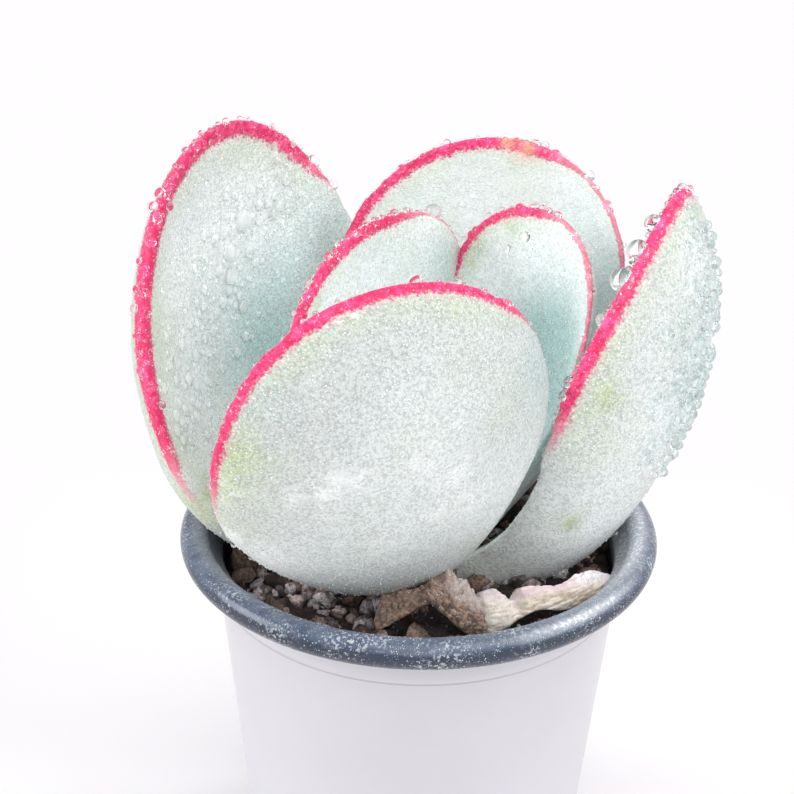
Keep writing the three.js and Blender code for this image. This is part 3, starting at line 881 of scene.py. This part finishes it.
def half_width(leaf, u):
    """Half the leaf's width at u: a sine rise from the foot to the widest place, then a superellipse."""
    rise = np.sin(math.pi / 2 * np.clip(u / leaf["widest"], 0, 1)) ** 1.2
    wide = leaf["foot_width"] + (1 - leaf["foot_width"]) * rise
    fall = np.clip((u - leaf["widest"]) / (1 - leaf["widest"]), 0, 1) ** leaf["tip_power"]
    return leaf["width"] / 2 * np.where(u < leaf["widest"], wide, np.sqrt(np.clip(1 - fall, 0, 1)))


def turn_about(axis, vector, angle):
    """Vectors square to an axis, turned about it by an angle."""
    return vector * np.cos(angle)[:, None] + np.cross(axis, vector) * np.sin(angle)[:, None]


def midrib(leaf):
    """Midrib as rows of place, across and inward direction.

    The direction's lean from upright goes from lean_foot to lean_tip with a power of the distance, it bends
    sideways and rolls evenly, and each place is the sum of the directions before it.
    """
    u = np.linspace(0, 1, MIDRIB_STEPS + 1)
    azimuth = math.radians(leaf["azimuth"])
    out = np.array([math.cos(azimuth), math.sin(azimuth), 0.0])
    leaning = leaf["lean_tip"] - leaf["lean_foot"]
    lean = np.radians(leaf["lean_foot"] + leaning * u ** leaf["lean_power"])[:, None]
    bend = np.radians(leaf["bend"] * u)[:, None]
    turn = np.radians(leaf["roll"] + leaf["twist"] * u)
    straight = out * np.sin(lean) + UP * np.cos(lean)
    inward = -out * np.cos(lean) + UP * np.sin(lean)
    sideways = np.cross(straight, inward)
    along = straight * np.cos(bend) + sideways * np.sin(bend)
    across = turn_about(along, sideways * np.cos(bend) - straight * np.sin(bend), turn)
    inward = turn_about(along, inward, turn)
    steps = (along[1:] + along[:-1]) / 2 * leaf["length"] / MIDRIB_STEPS
    start = out * leaf["foot"] + UP * leaf["height"]
    at = start + np.concatenate([np.zeros((1, 3)), np.cumsum(steps, 0)])
    return u, np.concatenate([at, across, inward], 1)


def leaf_surface(leaf, u, turn):
    """Points of a leaf, in millimetres, for u from foot to tip and turn round its section.

    The section is bent round a cylinder, so a point lies at the angle half width times cos(turn) over the
    radius. From there it is raised along the cylinder's normal: by a shallow bulge on the inner face (turn
    0 to 180 degrees) and a deep one on the outer face, both 1 minus the square of cos(turn), plus a round
    edge. The bulge swells towards the foot, narrows at the neck and closes at the tip.
    """
    steps, rows = midrib(leaf)
    found = np.stack([np.interp(u, steps, column) for column in rows.T], -1)
    at, s, n = found[..., 0:3], found[..., 3:6], found[..., 6:9]
    radius = leaf["width"] / math.radians(leaf["cup"])
    v = np.cos(turn)
    neck = 0.6 + 0.4 * np.sin(math.pi / 2 * np.clip(u / 0.3, 0, 1))
    swell = (1 + leaf["swell"] * (1 - u) ** 1.5 - 0.35 * u * u) * neck
    tip = np.sqrt(np.clip(1 - u ** 8, 0, 1))
    edge = EDGE_THICKNESS / 2 * np.sqrt(np.clip(1 - v ** 8, 0, 1))
    inner = INNER_BULGE * swell * (1 - v * v) + edge
    outer = (leaf["thickness"] - INNER_BULGE) * swell * (1 - v * v) ** 0.85 + edge
    side = np.where(np.abs(np.sin(turn)) < 1e-9, 0.0, np.sign(np.sin(turn)))
    height = np.where(side > 0, inner, -outer) * tip * np.abs(side)
    alpha = half_width(leaf, u) * v / radius
    sine, cosine = np.sin(alpha)[..., None], np.cos(alpha)[..., None]
    return at + s * radius * sine + n * radius * (1 - cosine) + (n * cosine - s * sine) * height[..., None]


def lumps(points, turn, seed):
    """Gentle unevenness of a fleshy leaf, and a finer one along its round margin, in millimetres."""
    blade = 0.13 * waves(points, 13, seed) + 0.04 * waves(points, 4, seed + 50)
    beading = 0.16 * waves(points, 5, seed + 80) + 0.1 * waves(points, 1.6, seed + 90)
    return blade + np.abs(np.cos(turn)) ** 40 * beading


def rest_on_pot(points):
    """Moves points, in metres, that reach into the pot out of it, so a leaf lies against rim and wall.

    Near the bead a point is kept a bead radius and a gap from the bead's centre circle. Below it, a point
    is kept inside the inner wall.
    """
    r = np.maximum(np.hypot(points[..., 0], points[..., 1]), 1e-9)
    z = points[..., 2]
    dr, dz = r - BEAD_CENTRE_RADIUS, z - BEAD_CENTRE_HEIGHT
    away = np.maximum(np.hypot(dr, dz), 1e-9)
    push = np.maximum(BEAD_RADIUS + GAP / 2 - away, 0)
    inside = BEAD_CENTRE_RADIUS - BEAD_RADIUS - GAP / 2
    new_r = np.where(z < BEAD_CENTRE_HEIGHT, np.minimum(r, inside), r + push * dr / away)
    new_r = np.where(z < BEAD_CENTRE_HEIGHT - BEAD_RADIUS, np.minimum(new_r, wall_inner(z) - GAP), new_r)
    new_z = np.where(z < BEAD_CENTRE_HEIGHT, z, z + push * dz / away)
    return np.stack([points[..., 0] * new_r / r, points[..., 1] * new_r / r, new_z], -1)


def leaf_grid(name, rows, around):
    """Grid of one leaf in metres, with u and turn of each point. Rows close up towards the tip."""
    u = np.sin(math.pi / 2 * np.linspace(0, 1, rows))[:, None]
    turn = np.linspace(0, math.tau, around, endpoint=False)[None, :]
    u, turn = np.broadcast_arrays(u, turn)
    grid = leaf_surface(LEAVES[name], u, turn)
    normals = unit(np.cross(np.roll(grid, -1, 1) - np.roll(grid, 1, 1), np.gradient(grid, axis=0)))
    fade = smoothstep(0, 0.08, 1 - u) * smoothstep(0, 0.1, u)
    height = lumps(grid, turn, LUMP_SEED + LEAF_NAMES.index(name)) * fade
    return rest_on_pot((grid + normals * height[..., None]) * MM), u, turn


def margin_values(name, grid):
    """For each point of a leaf: its distance from the margin line over the coloured reach, and how vivid.

    The nearest point of the margin line decides both: the bright side and the tip have a wide vivid band,
    the other side a thin pale one, and both fade out towards the foot.
    """
    leaf = LEAVES[name]
    u = np.sin(math.pi / 2 * np.linspace(0, 1, MARGIN_STEPS))
    margin_u = np.concatenate([u, u[::-1]])
    sides = np.repeat([1.0, -1.0], len(u))
    turn = np.where(sides > 0, -leaf["outward"], math.pi + leaf["outward"])
    targets = rest_on_pot(leaf_surface(leaf, margin_u, turn) * MM).astype(np.float32)
    share = half_width(leaf, margin_u) / (leaf["width"] / 2)
    where = sides * np.where(margin_u > leaf["widest"], share, 1.0) * leaf["bright"]
    bright = smoothstep(leaf["bright_to"] - 0.2, leaf["bright_to"] + 0.2, where)
    start = np.where(where > 0, leaf["bright_from"], leaf["dull_from"]) - 0.04
    reach = leaf["dull_reach"] + (leaf["bright_reach"] - leaf["dull_reach"]) * bright
    wide = smoothstep(start, start + leaf["widens_over"], margin_u)
    reach = reach * (1 - leaf["narrow"] * (1 - wide)) * MM
    vivid = (0.68 + 0.32 * bright) * smoothstep(start, start + 0.2, margin_u)
    flat = grid.reshape(-1, 3).astype(np.float32)
    nearest = np.empty(len(flat), np.int64)
    distance = np.empty(len(flat), np.float32)
    # In parts, because all distances at once would fill the memory
    for part in np.array_split(np.arange(len(flat)), 24):
        squares = ((flat[part, None, :] - targets[None]) ** 2).sum(-1)
        nearest[part] = squares.argmin(1)
        distance[part] = np.sqrt(squares.min(1))
    edge = distance / reach[nearest]
    return edge.reshape(grid.shape[:2]), vivid[nearest].reshape(grid.shape[:2])


def patches(name, grid, table):
    """Sum of round soft patches at listed places of a leaf, at each point of its grid."""
    total = np.zeros(grid.shape[:2])
    for u, v, face, radius, amount in table.get(name, []):
        centre = leaf_surface(LEAVES[name], np.array([u]), np.array([math.acos(v) * face]))[0] * MM
        total += amount * bell(np.linalg.norm(grid - centre, axis=-1), 0, radius * MM)
    return np.clip(total, 0, 1)


class LEAF_OT_build(bpy.types.Operator):
    """Six leaves: cupped plano-convex blades, with their margin colour and bloom stored on the points"""
    bl_idname = "succulent.leaves"
    bl_label = "Leaves"

    def execute(self, context):
        material = leaf_material(context.scene.succulent_leaf)
        for name in LEAF_NAMES:
            grid, u, turn = leaf_grid(name, LEAF_ROWS, LEAF_AROUND)
            part = name.replace("leaf", "dewy_leaf")
            piece = ring_piece(part, grid, [material], name, flip=True)
            edge, vivid = margin_values(name, grid)
            marks = {kind: patches(name, grid, table) for kind, table in PATCHES.items()}
            # Painted light: the inner face and the painted-light patches take the pale bloom
            bright = np.clip(smoothstep(-0.05, 0.25, np.sin(turn)) + marks.pop("thick_bloom"), 0, 1)
            grain = np.full(u.shape, min(LEAVES[name]["mist"], 1))
            store(piece, edge=edge, vivid=vivid, bright_bloom=bright, grain=grain, **marks)
        return {"FINISHED"}


# Dew

def scatter_on(grid, weight, count, rng):
    """Seeded places on a grid and their normals, as likely as the weight and area of each quad say."""
    a, b = grid[:-1], np.roll(grid, -1, 1)[:-1]
    c, d = np.roll(grid, -1, 1)[1:], grid[1:]
    normal = np.cross(d - b, c - a)
    odds = (np.linalg.norm(normal, axis=-1) * weight[:-1]).ravel()
    chosen = np.searchsorted(np.cumsum(odds) / odds.sum(), rng.random(count))
    a, b, c, d = [corner.reshape(-1, 3)[chosen] for corner in (a, b, c, d)]
    i, j = rng.random((2, count, 1))
    points = (a * (1 - j) + b * j) * (1 - i) + (d * (1 - j) + c * j) * i
    return points, unit(normal.reshape(-1, 3)[chosen])


def add_drops(name, points, normals, radii, height, mesh, material, rng, slot="leaf"):
    """One piece from many low-poly drops: balls cut off where they touch the surface.

    Each is sin and cos of the angle from its top, from 118 degrees at the foot to 9, turned about the
    surface normal, a little longer one way than the other.
    """
    around, rows = mesh
    first = unit(np.cross(normals, rng.normal(size=normals.shape)))
    second = np.cross(normals, first)
    theta = np.radians(np.linspace(118, 9, rows))[None, :, None]
    phi = np.linspace(0, math.tau, around, endpoint=False)
    stretch = rng.uniform(0.9, 1.14, (len(radii), 1, 1))
    a = np.sin(theta) * np.cos(phi) * stretch
    b = np.sin(theta) * np.sin(phi) / stretch
    c = (np.cos(theta) + 0.4) * np.ones_like(phi) * height
    parts = ((a, first), (b, second), (c, normals))
    grids = sum(part[..., None] * axis[:, None, None] for part, axis in parts)
    many_closed(name, points[:, None, None] + grids * radii[:, None, None, None], material)


def random_radii(count, diameter, least, more, power, rng):
    """Radii in metres: half a diameter in millimetres, times least plus a random part of more.

    A higher power of the random number leaves fewer large ones.
    """
    return diameter * MM / 2 * (least + more * rng.random(count) ** power)


def leaf_dew(name, dew, water, blade_water, mist, rng):
    """A leaf's clear drops, the larger ones along its margin, its few large ones and its fine mist."""
    leaf = LEAVES[name]
    inner, outer, margin = leaf["inner_dew"], leaf["outer_dew"], leaf["margin_dew"]
    grid, u, turn = leaf_grid(name, DEW_ROWS, DEW_AROUND)
    edge = margin_values(name, grid)[0]
    open_part = smoothstep(0.25, 0.6, u)
    weight = open_part * (np.where(np.sin(turn) > 0, inner, outer) + 6 * margin * np.exp(-edge ** 2))
    count = int(dew.drop_count * (inner + outer + margin) / 3)
    places = scatter_on(grid, weight, count, rng)
    radii = random_radii(count, dew.drop_size, 0.2, 0.35, 4, rng)
    add_drops(name.replace("leaf", "dew"), *places, radii, leaf["dew_height"], DEW_MESH, water, rng)
    count = int(dew.margin_count * margin)
    places = scatter_on(grid, open_part * np.exp(-2 * edge ** 2), count, rng)
    radii = random_radii(count, dew.drop_size, 0.35, leaf["largest_dew"] * 0.5, 2, rng)
    add_drops(name.replace("leaf", "margin_dew"), *places, radii, 0.9, BAND_MESH, water, rng)
    points, normals, radii, v = large_places(name)
    blade = np.abs(v) < BLADE_SHARE
    kinds = (("large_dew", ~blade, 0.95, water), ("blade_dew", blade, 0.5, blade_water))
    for part, kept, height, material in kinds:
        if kept.any():
            add_drops(name.replace("leaf", part), points[kept], normals[kept], radii[kept], height,
                      LARGE_MESH, material, rng)
    count = int(dew.mist_count * leaf["mist"])
    places = scatter_on(grid, smoothstep(0.1, 0.3, u), count, rng)
    radii = random_radii(count, dew.mist_size, 0.45, 0.75, 1, rng)
    add_drops(name.replace("leaf", "mist"), *places, radii, 0.8, MIST_MESH, mist, rng)


def large_places(name):
    """Centres, normals, radii and shares of the half width of a leaf's few large drops."""
    u, v, face, radius = np.array(LARGE_DROPS[name]).T
    turn = np.arccos(v) * face
    before, after = [leaf_surface(LEAVES[name], u, turn + side) * MM for side in (-0.02, 0.02)]
    ahead = leaf_surface(LEAVES[name], np.minimum(u + 0.01, 1), turn) * MM
    behind = leaf_surface(LEAVES[name], u - 0.01, turn) * MM
    normals = unit(np.cross(ahead - behind, after - before))
    return leaf_surface(LEAVES[name], u, turn) * MM, normals, radius * MM, v


def lens_dew(name, water):
    """Drops that gather in a band on one face of a leaf, without those that overlap a larger one much."""
    band = LENS_BANDS[name]
    rng = np.random.default_rng(band["seed"])
    grid, u, turn = leaf_grid(name, DEW_ROWS, DEW_AROUND)
    low, high = band["low"], band["high"]
    ends = smoothstep(low, low + 0.15, u) * smoothstep(high, high - 0.1, u)
    weight = bell(np.cos(turn) - band["slope"] * (u - band["at"]), 0, band["width"]) * ends
    weight = weight * (np.sin(turn) * band["face"] > 0.05) * (np.cos(turn) > -0.9)
    points, normals = scatter_on(grid, weight, band["count"], rng)
    small, large = band["radii"]
    radii = (small + (large - small) * rng.random(band["count"]) ** 2) * MM
    big_ones, _, big_radii, _ = large_places(name)
    everyone = np.concatenate([points, big_ones])
    every_radius = np.concatenate([radii, big_radii])
    gap = np.linalg.norm(points[:, None] - everyone[None], axis=-1)
    crowded = (gap < 0.85 * (radii[:, None] + every_radius)) & (every_radius > radii[:, None])
    kept = ~crowded.any(1)
    add_drops(name.replace("leaf", "lens_dew"), points[kept], normals[kept], radii[kept], band["tall"],
              BAND_MESH, water, rng)


def rim_mist(dew, material):
    """Specks of mist over the top of the bead, gathered in patches."""
    rng = np.random.default_rng(RIM_MIST_SEED)
    tries = dew.rim_count * 3
    turn = math.tau * rng.random(tries)
    tilt = np.radians(rng.normal(60, 50, tries).clip(-40, 175))
    out = np.stack([np.cos(turn), np.sin(turn), np.zeros(tries)], -1)
    normals = out * np.cos(tilt)[:, None] + UP * np.sin(tilt)[:, None]
    points = out * BEAD_CENTRE_RADIUS + UP * BEAD_CENTRE_HEIGHT + normals * BEAD_RADIUS
    gathered = waves(points / MM, 4, 8) + 0.7 * waves(points / MM, 1.5, 9) + rng.normal(0, 0.35, tries)
    kept = np.argsort(-gathered)[:dew.rim_count]
    radii = random_radii(dew.rim_count, dew.mist_size, 0.25, 0.75, 3, rng)
    add_drops("rim_mist", points[kept], normals[kept], radii, 0.5, SPECK_MESH, material, rng, "pot_plastic")


def dried_mist(name, dew, material, rng):
    """Specks of mist on the outer face of a dried leaf."""
    grid, _, along, turn = dried_grid(DRIED[name])
    weight = 0.2 + 2 * frosted_share(name, along, turn) + smoothstep(0.6, 1.3, turn)
    weight = weight[:, :SHEET_COLUMNS]
    weight[:, -1] = 0
    points, normals = scatter_on(grid[:, :SHEET_COLUMNS] * MM, weight, dew.dried_count, rng)
    radii = random_radii(dew.dried_count, dew.mist_size, 0.3, 0.9, 2, rng)
    part = name.replace("leaf", "leaf_mist")
    add_drops(part, points, -normals, radii, 0.8, SPECK_MESH, material, rng, "dried_leaf")


class DEW_OT_build(bpy.types.Operator):
    """Dew on each leaf: clear drops, denser on some faces and margins, and fine mist over all of it"""
    bl_idname = "succulent.dew"
    bl_label = "Dew"

    def execute(self, context):
        dew = context.scene.succulent_dew
        water = water_material()
        milky = water_material("milky_water", 0.7, MILKY_TINT, 0.42)
        mist = mist_material(dew)
        for index, name in enumerate(LEAF_NAMES):
            blade_water = milky if name == "leaf_left" else water
            leaf_dew(name, dew, water, blade_water, mist, np.random.default_rng(DEW_SEED + index))
        lens_dew("leaf_left", milky)
        lens_dew("leaf_right", water_material("side_water", 1.0, SIDE_TINT, 0.24))
        rim_mist(dew, mist)
        for index, name in enumerate(DRIED):
            dried_mist(name, dew, mist, np.random.default_rng(DRIED_MIST_SEED + index))
        return {"FINISHED"}


# Dried leaves

def frosted_share(name, along, turn):
    """Where fine mist settles: on the brown dried leaf's ridge, and on the pale one's fold and far end."""
    ridge = smoothstep(0.9, 1.4, turn)
    if name.endswith("brown"):
        return 0.6 * ridge * smoothstep(0.45, 0.7, along)
    return np.clip(0.4 * smoothstep(0.3, 0.2, along) + smoothstep(0.55, 0.75, along) * ridge, 0, 1)


def dried_grid(p):
    """Crumpled sheet as rings of its outer and inner face, in millimetres, with its wrinkles and angles.

    Round its axis the sheet lies on an ellipse of the given height and depth, times one plus crumple waves,
    with finer wrinkles on top, and a thickness that goes to nothing at its border. The front border lifts
    off the soil, and the back one curls up, by bell curves along the axis.
    """
    a = np.linspace(0, 1, SHEET_ROWS)[:, None]
    b = np.concatenate([np.linspace(0, 1, SHEET_COLUMNS), np.linspace(1, 0, SHEET_COLUMNS)])[None, :]
    face = np.repeat([1.0, -1.0], SHEET_COLUMNS)[None, :]
    start, end = np.array(p["start"]), np.array(p["end"])
    flat = unit((end - start) * np.array([1, 1, 0]))
    front = np.array([flat[1], -flat[0], 0])
    reach = np.interp(a[:, 0], *np.transpose(p["heights"]))
    window = np.hanning(7)
    reach = np.convolve(np.pad(reach, 3, "edge"), window / window.sum(), "valid")[:, None]
    first = p["first"] + p["lift"] * bell(a, p["lift_at"], p["lift_width"])
    turn = np.radians(first + (p["last"] - first) * b)
    wave = np.sin(p["waves"] * turn + 7 * a) + 0.6 * np.sin(11 * a - 3 * turn)
    along = a * np.linalg.norm(end - start) / p["grain"]
    plain = np.stack(np.broadcast_arrays(along, reach * turn / p["across"], 0 * a), -1)
    wrinkle = 1.2 * np.abs(waves(plain, 1.9, p["seed"])) + 0.6 * np.abs(waves(plain, 0.8, p["seed"] + 1))
    wrinkle += 0.3 * waves(plain, 0.4, p["seed"] + 2)
    border = np.sqrt(np.clip(1 - (2 * b - 1) ** 10, 0, 1)) * np.sqrt(np.clip(1 - (2 * a - 1) ** 12, 0, 1))
    curl = p["curl"] * smoothstep(1.2, 2.2, turn) * bell(a, p["curl_at"], 0.14)
    r = reach * (1 + p["crumple"] * wave) + curl
    r = r + (wrinkle - 0.8) * p["wrinkle"] * np.minimum(1, reach / 2) + face * p["sheet"] / 2 * border
    bow = front * (p["bow"] * np.sin(math.pi * a))[..., None]
    at = start * (1 - a[..., None]) + end * a[..., None] + bow
    points = at + front * (r * p["depth"] * np.cos(turn))[..., None] + UP * (r * np.sin(turn))[..., None]
    along, turn = np.broadcast_arrays(a, turn)
    return points, wrinkle, along, turn


class DRIED_OT_build(bpy.types.Operator):
    """Two dried leaves on the soil: thin sheets arched over an axis, crumpled and wrinkled"""
    bl_idname = "succulent.dried_leaves"
    bl_label = "Dried Leaves"

    def execute(self, context):
        soil = context.scene.succulent_soil
        brown = (soil.dead_brown, soil.dead_dark, soil.dead_brown, 0.6)
        pale = (soil.dead_cream, soil.dead_tan, soil.dead_ridge, 0.9)
        finishes = {"dried_leaf_brown": (brown, "dried_leaf"), "dried_leaf_pale": (pale, "dried_leaf_pale")}
        for name, (look, slot) in finishes.items():
            grid, wrinkle, along, turn = dried_grid(DRIED[name])
            material = dried_material(name + "_skin", *look)
            piece = ring_piece("crumpled_" + name, grid * MM, [material], name)
            frosted = np.clip(frosted_share(name, along, turn), 0, 1)
            store(piece, fold=np.clip(wrinkle, 0, 1.6), ridge=smoothstep(0.95, 1.4, turn), frosted=frosted)
        return {"FINISHED"}


# Stage

class STAGE_OT_build(bpy.types.Operator):
    """Pale paper floor, soft daylight from all round, and the camera at the picture's angle"""
    bl_idname = "succulent.stage"
    bl_label = "Stage"

    def execute(self, context):
        stage = context.scene.succulent_stage
        context.scene.view_settings.view_transform = "Standard"
        grid = turned([(r, 0.0) for r in FLOOR_RADII], FLOOR_AROUND)
        quads, fans = [np.flip(f, 1) for f in ring_faces(*grid.shape[:2])]
        # Only the floor's middle is closed, and its outer border stays open
        points = ring_points(grid)[:-1]
        faces = [quads, fans[:FLOOR_AROUND]]
        build_mesh("studio_floor", points, faces, [floor_material(stage)], body=None)
        self.daylight(stage)
        self.camera()
        return {"FINISHED"}

    def daylight(self, stage):
        """Even pale surroundings, and broad soft lamps that shine along a direction given as two angles."""
        world = bpy.data.worlds.new("studio")
        bpy.context.scene.world = world
        world.use_nodes = True
        background = world.node_tree.nodes["Background"]
        background.inputs["Color"].default_value = (*stage.sky_colour, 1.0)
        background.inputs["Strength"].default_value = stage.sky_strength
        for name, (azimuth, elevation, width, share) in LAMPS.items():
            lamp = bpy.data.lights.new("lamp_" + name, "SUN")
            lamp.energy = stage.lamp_strength * share
            lamp.angle = math.radians(width)
            thing = bpy.data.objects.new("lamp_" + name, lamp)
            thing.rotation_euler = (math.radians(90 - elevation), 0, math.radians(azimuth))
            bpy.context.scene.collection.objects.link(thing)

    def camera(self):
        """Camera at the picture's lens, distance, elevation and roll, as a matrix of its own axes."""
        elevation = math.radians(CAMERA_ELEVATION)
        roll = math.radians(CAMERA_ROLL)
        forward = np.array([0, math.cos(elevation), -math.sin(elevation)])
        right = np.array([1.0, 0, 0])
        up = np.cross(right, forward)
        matrix = np.eye(4)
        matrix[:3, 0] = math.cos(roll) * right + math.sin(roll) * up
        matrix[:3, 1] = math.cos(roll) * up - math.sin(roll) * right
        matrix[:3, 2] = -forward
        matrix[:3, 3] = np.array(CAMERA_TARGET) - forward * CAMERA_DISTANCE
        data = bpy.data.cameras.new("camera")
        data.lens = CAMERA_LENS
        data.sensor_width = CAMERA_SENSOR
        data.clip_start, data.clip_end = CAMERA_CLIP
        camera = bpy.data.objects.new("camera", data)
        camera.matrix_world = Matrix(matrix.tolist())
        bpy.context.scene.collection.objects.link(camera)
        bpy.context.scene.camera = camera


# Settings

def colour_setting(name, description, default):
    """A linear colour that a user can change."""
    return FloatVectorProperty(
        name=name, description=description, default=default, subtype="COLOR", size=3, min=0, max=1
    )


def count_setting(name, description, default):
    """A number of pieces that a user can change."""
    return IntProperty(name=name, description=description, default=default, min=0)


def number_setting(name, description, default, least=0.0):
    """A plain number that a user can change."""
    return FloatProperty(name=name, description=description, default=default, min=least)


class PotSettings(bpy.types.PropertyGroup):
    wall_colour: colour_setting("Wall", "White of the outer wall", (0.575, 0.565, 0.60))
    wall_shade: colour_setting("Wall Shade", "Faintly greyer white in the wall", (0.56, 0.55, 0.585))
    rim_colour: colour_setting("Rim", "Slate of the rim and the inside", (0.048, 0.07, 0.118))
    rim_light: colour_setting("Rim Light", "Paler slate mixed into the rim", (0.112, 0.147, 0.213))
    # Also the colour of the painted highlight stripe and the painted light on the rim's left side
    dust_and_highlight_colour: colour_setting("Dust", "Dried mist and dust on the rim", (0.78, 0.81, 0.86))


class LeafSettings(bpy.types.PropertyGroup):
    # Lit and shaded copies of one bloom: painted shade on the outer face, painted light on the inner face
    bloom_outer_shaded: colour_setting("Outer Bloom", "Waxy bloom on the outer face", (0.59, 0.63, 0.615))
    bloom_inner_lit: colour_setting("Inner Bloom", "Waxy bloom on the inner face", (0.915, 0.975, 0.975))
    flesh: colour_setting("Flesh", "Leaf where the bloom is thin", (0.50, 0.60, 0.33))
    # Painted shade: the bluish colour of the leaf's hollows
    deep: colour_setting("Deep", "Bluish leaf in its hollows", (0.37, 0.58, 0.565))
    margin: colour_setting("Margin", "Vivid margin", (0.76, 0.01, 0.12))
    margin_light: colour_setting("Margin Light", "Paler grains in the margin", (0.95, 0.07, 0.26))
    blush: colour_setting("Blush", "Soft pink beside the margin", (0.88, 0.38, 0.52))
    mist_scale: number_setting("Mist Beads", "Tiny beads of mist a metre of surface", 2200, 100)


class DewSettings(bpy.types.PropertyGroup):
    drop_count: count_setting("Drops", "Clear drops on an average leaf", 420)
    drop_size: number_setting("Drop Size", "Diameter of a large drop in millimetres", 1.5, 0.1)
    margin_count: count_setting("Margin Drops", "Larger drops along an average leaf's margin", 44)
    mist_count: count_setting("Mist", "Mist beads on a leaf", 3700)
    mist_size: number_setting("Mist Size", "Diameter of a mist bead in millimetres", 0.24, 0.05)
    rim_count: count_setting("Rim Mist", "Mist beads on the pot's rim", 3100)
    dried_count: count_setting("Dried Leaf Mist", "Mist beads on a dried leaf", 520)
    mist: colour_setting("Mist Colour", "Colour of the mist beads", (0.86, 0.92, 0.92))


class SoilSettings(bpy.types.PropertyGroup):
    dark_colour: colour_setting("Dark", "Darkest soil", (0.008, 0.006, 0.006))
    brown_colour: colour_setting("Brown", "Lighter soil", (0.045, 0.03, 0.024))
    fleck_colour: colour_setting("Flecks", "Mineral flecks", (0.42, 0.40, 0.43))
    grit_dark: colour_setting("Grit Dark", "Darker stones", (0.14, 0.12, 0.13))
    grit_pale: colour_setting("Grit Pale", "Paler stones", (0.62, 0.57, 0.59))
    bark_dark: colour_setting("Bark Dark", "Dark bark", (0.02, 0.013, 0.011))
    bark_light: colour_setting("Bark Light", "Light bark", (0.25, 0.165, 0.125))
    crumb_dark: colour_setting("Crumb Dark", "Darker crumbs", (0.15, 0.115, 0.115))
    crumb_light: colour_setting("Crumb Light", "Pinkish crumbs", (0.62, 0.50, 0.47))
    grit_count: count_setting("Grit", "Stones on the soil", 420)
    bark_count: count_setting("Bark", "Bark bits on the soil", 380)
    crumb_count: count_setting("Crumbs", "Pinkish crumbs on the soil", 420)
    dead_brown: colour_setting("Dead Brown", "Brown dried leaf", (0.40, 0.28, 0.215))
    # Painted shade in the brown leaf's folds, mixed with random blotches
    dead_dark: colour_setting("Dead Dark", "Its folds", (0.06, 0.038, 0.03))
    dead_cream: colour_setting("Dead Cream", "Pale dried leaf", (0.86, 0.78, 0.67))
    # Painted shade in the pale leaf's folds, mixed with random blotches
    dead_tan: colour_setting("Dead Tan", "Its folds", (0.50, 0.40, 0.30))
    dead_ridge: colour_setting("Dead Ridge", "Its lilac ridge", (0.76, 0.58, 0.64))


class StageSettings(bpy.types.PropertyGroup):
    # Painted light: the paper is paler near the pot to offset the pot's shadow
    floor_near_lit: colour_setting("Floor", "Studio paper near the pot", (0.875, 0.86, 0.88))
    floor_shade: colour_setting("Floor Shade", "Studio paper further out", (0.725, 0.71, 0.73))
    sky_colour: colour_setting("Surroundings", "Colour of the soft light all round", (1.0, 0.995, 1.0))
    sky_strength: number_setting("Sky", "Strength of the surroundings", 0.56)
    lamp_strength: number_setting("Lamps", "Strength of the lamps, which each take a share of it", 1.66)


class VIEW3D_PT_succulent(bpy.types.Panel):
    """Lists what the add-on builds, with its settings"""
    bl_idname = "VIEW3D_PT_succulent"
    bl_label = "Potted Succulent"
    bl_space_type = "VIEW_3D"
    bl_region_type = "UI"
    bl_category = "Succulent"

    def draw(self, context):
        for operator, settings in PANEL_ROWS:
            self.layout.operator(operator.bl_idname)
            if settings:
                group = getattr(context.scene, settings)
                for key in group.__annotations__:
                    self.layout.prop(group, key)


SETTINGS = {
    "succulent_pot": PotSettings,
    "succulent_leaf": LeafSettings,
    "succulent_dew": DewSettings,
    "succulent_soil": SoilSettings,
    "succulent_stage": StageSettings,
}
PANEL_ROWS = [
    (POT_OT_build, "succulent_pot"),
    (SOIL_OT_build, "succulent_soil"),
    (STEM_OT_build, None),
    (LEAF_OT_build, "succulent_leaf"),
    (DRIED_OT_build, None),
    (DEW_OT_build, "succulent_dew"),
    (STAGE_OT_build, "succulent_stage"),
]
CLASSES = [*SETTINGS.values(), *[operator for operator, _ in PANEL_ROWS], VIEW3D_PT_succulent]


def register():
    """Makes the settings, operators and panel known to the program."""
    for item in CLASSES:
        bpy.utils.register_class(item)
    for key, group in SETTINGS.items():
        setattr(bpy.types.Scene, key, PointerProperty(type=group))


def unregister():
    """Takes them away again."""
    for key in SETTINGS:
        delattr(bpy.types.Scene, key)
    for item in reversed(CLASSES):
        bpy.utils.unregister_class(item)


def main():
    """Builds every piece and the stage."""
    register()
    bpy.ops.succulent.pot()
    bpy.ops.succulent.soil()
    bpy.ops.succulent.stem()
    bpy.ops.succulent.leaves()
    bpy.ops.succulent.dried_leaves()
    bpy.ops.succulent.dew()
    bpy.ops.succulent.stage()


if __name__ == "__main__":
    main()
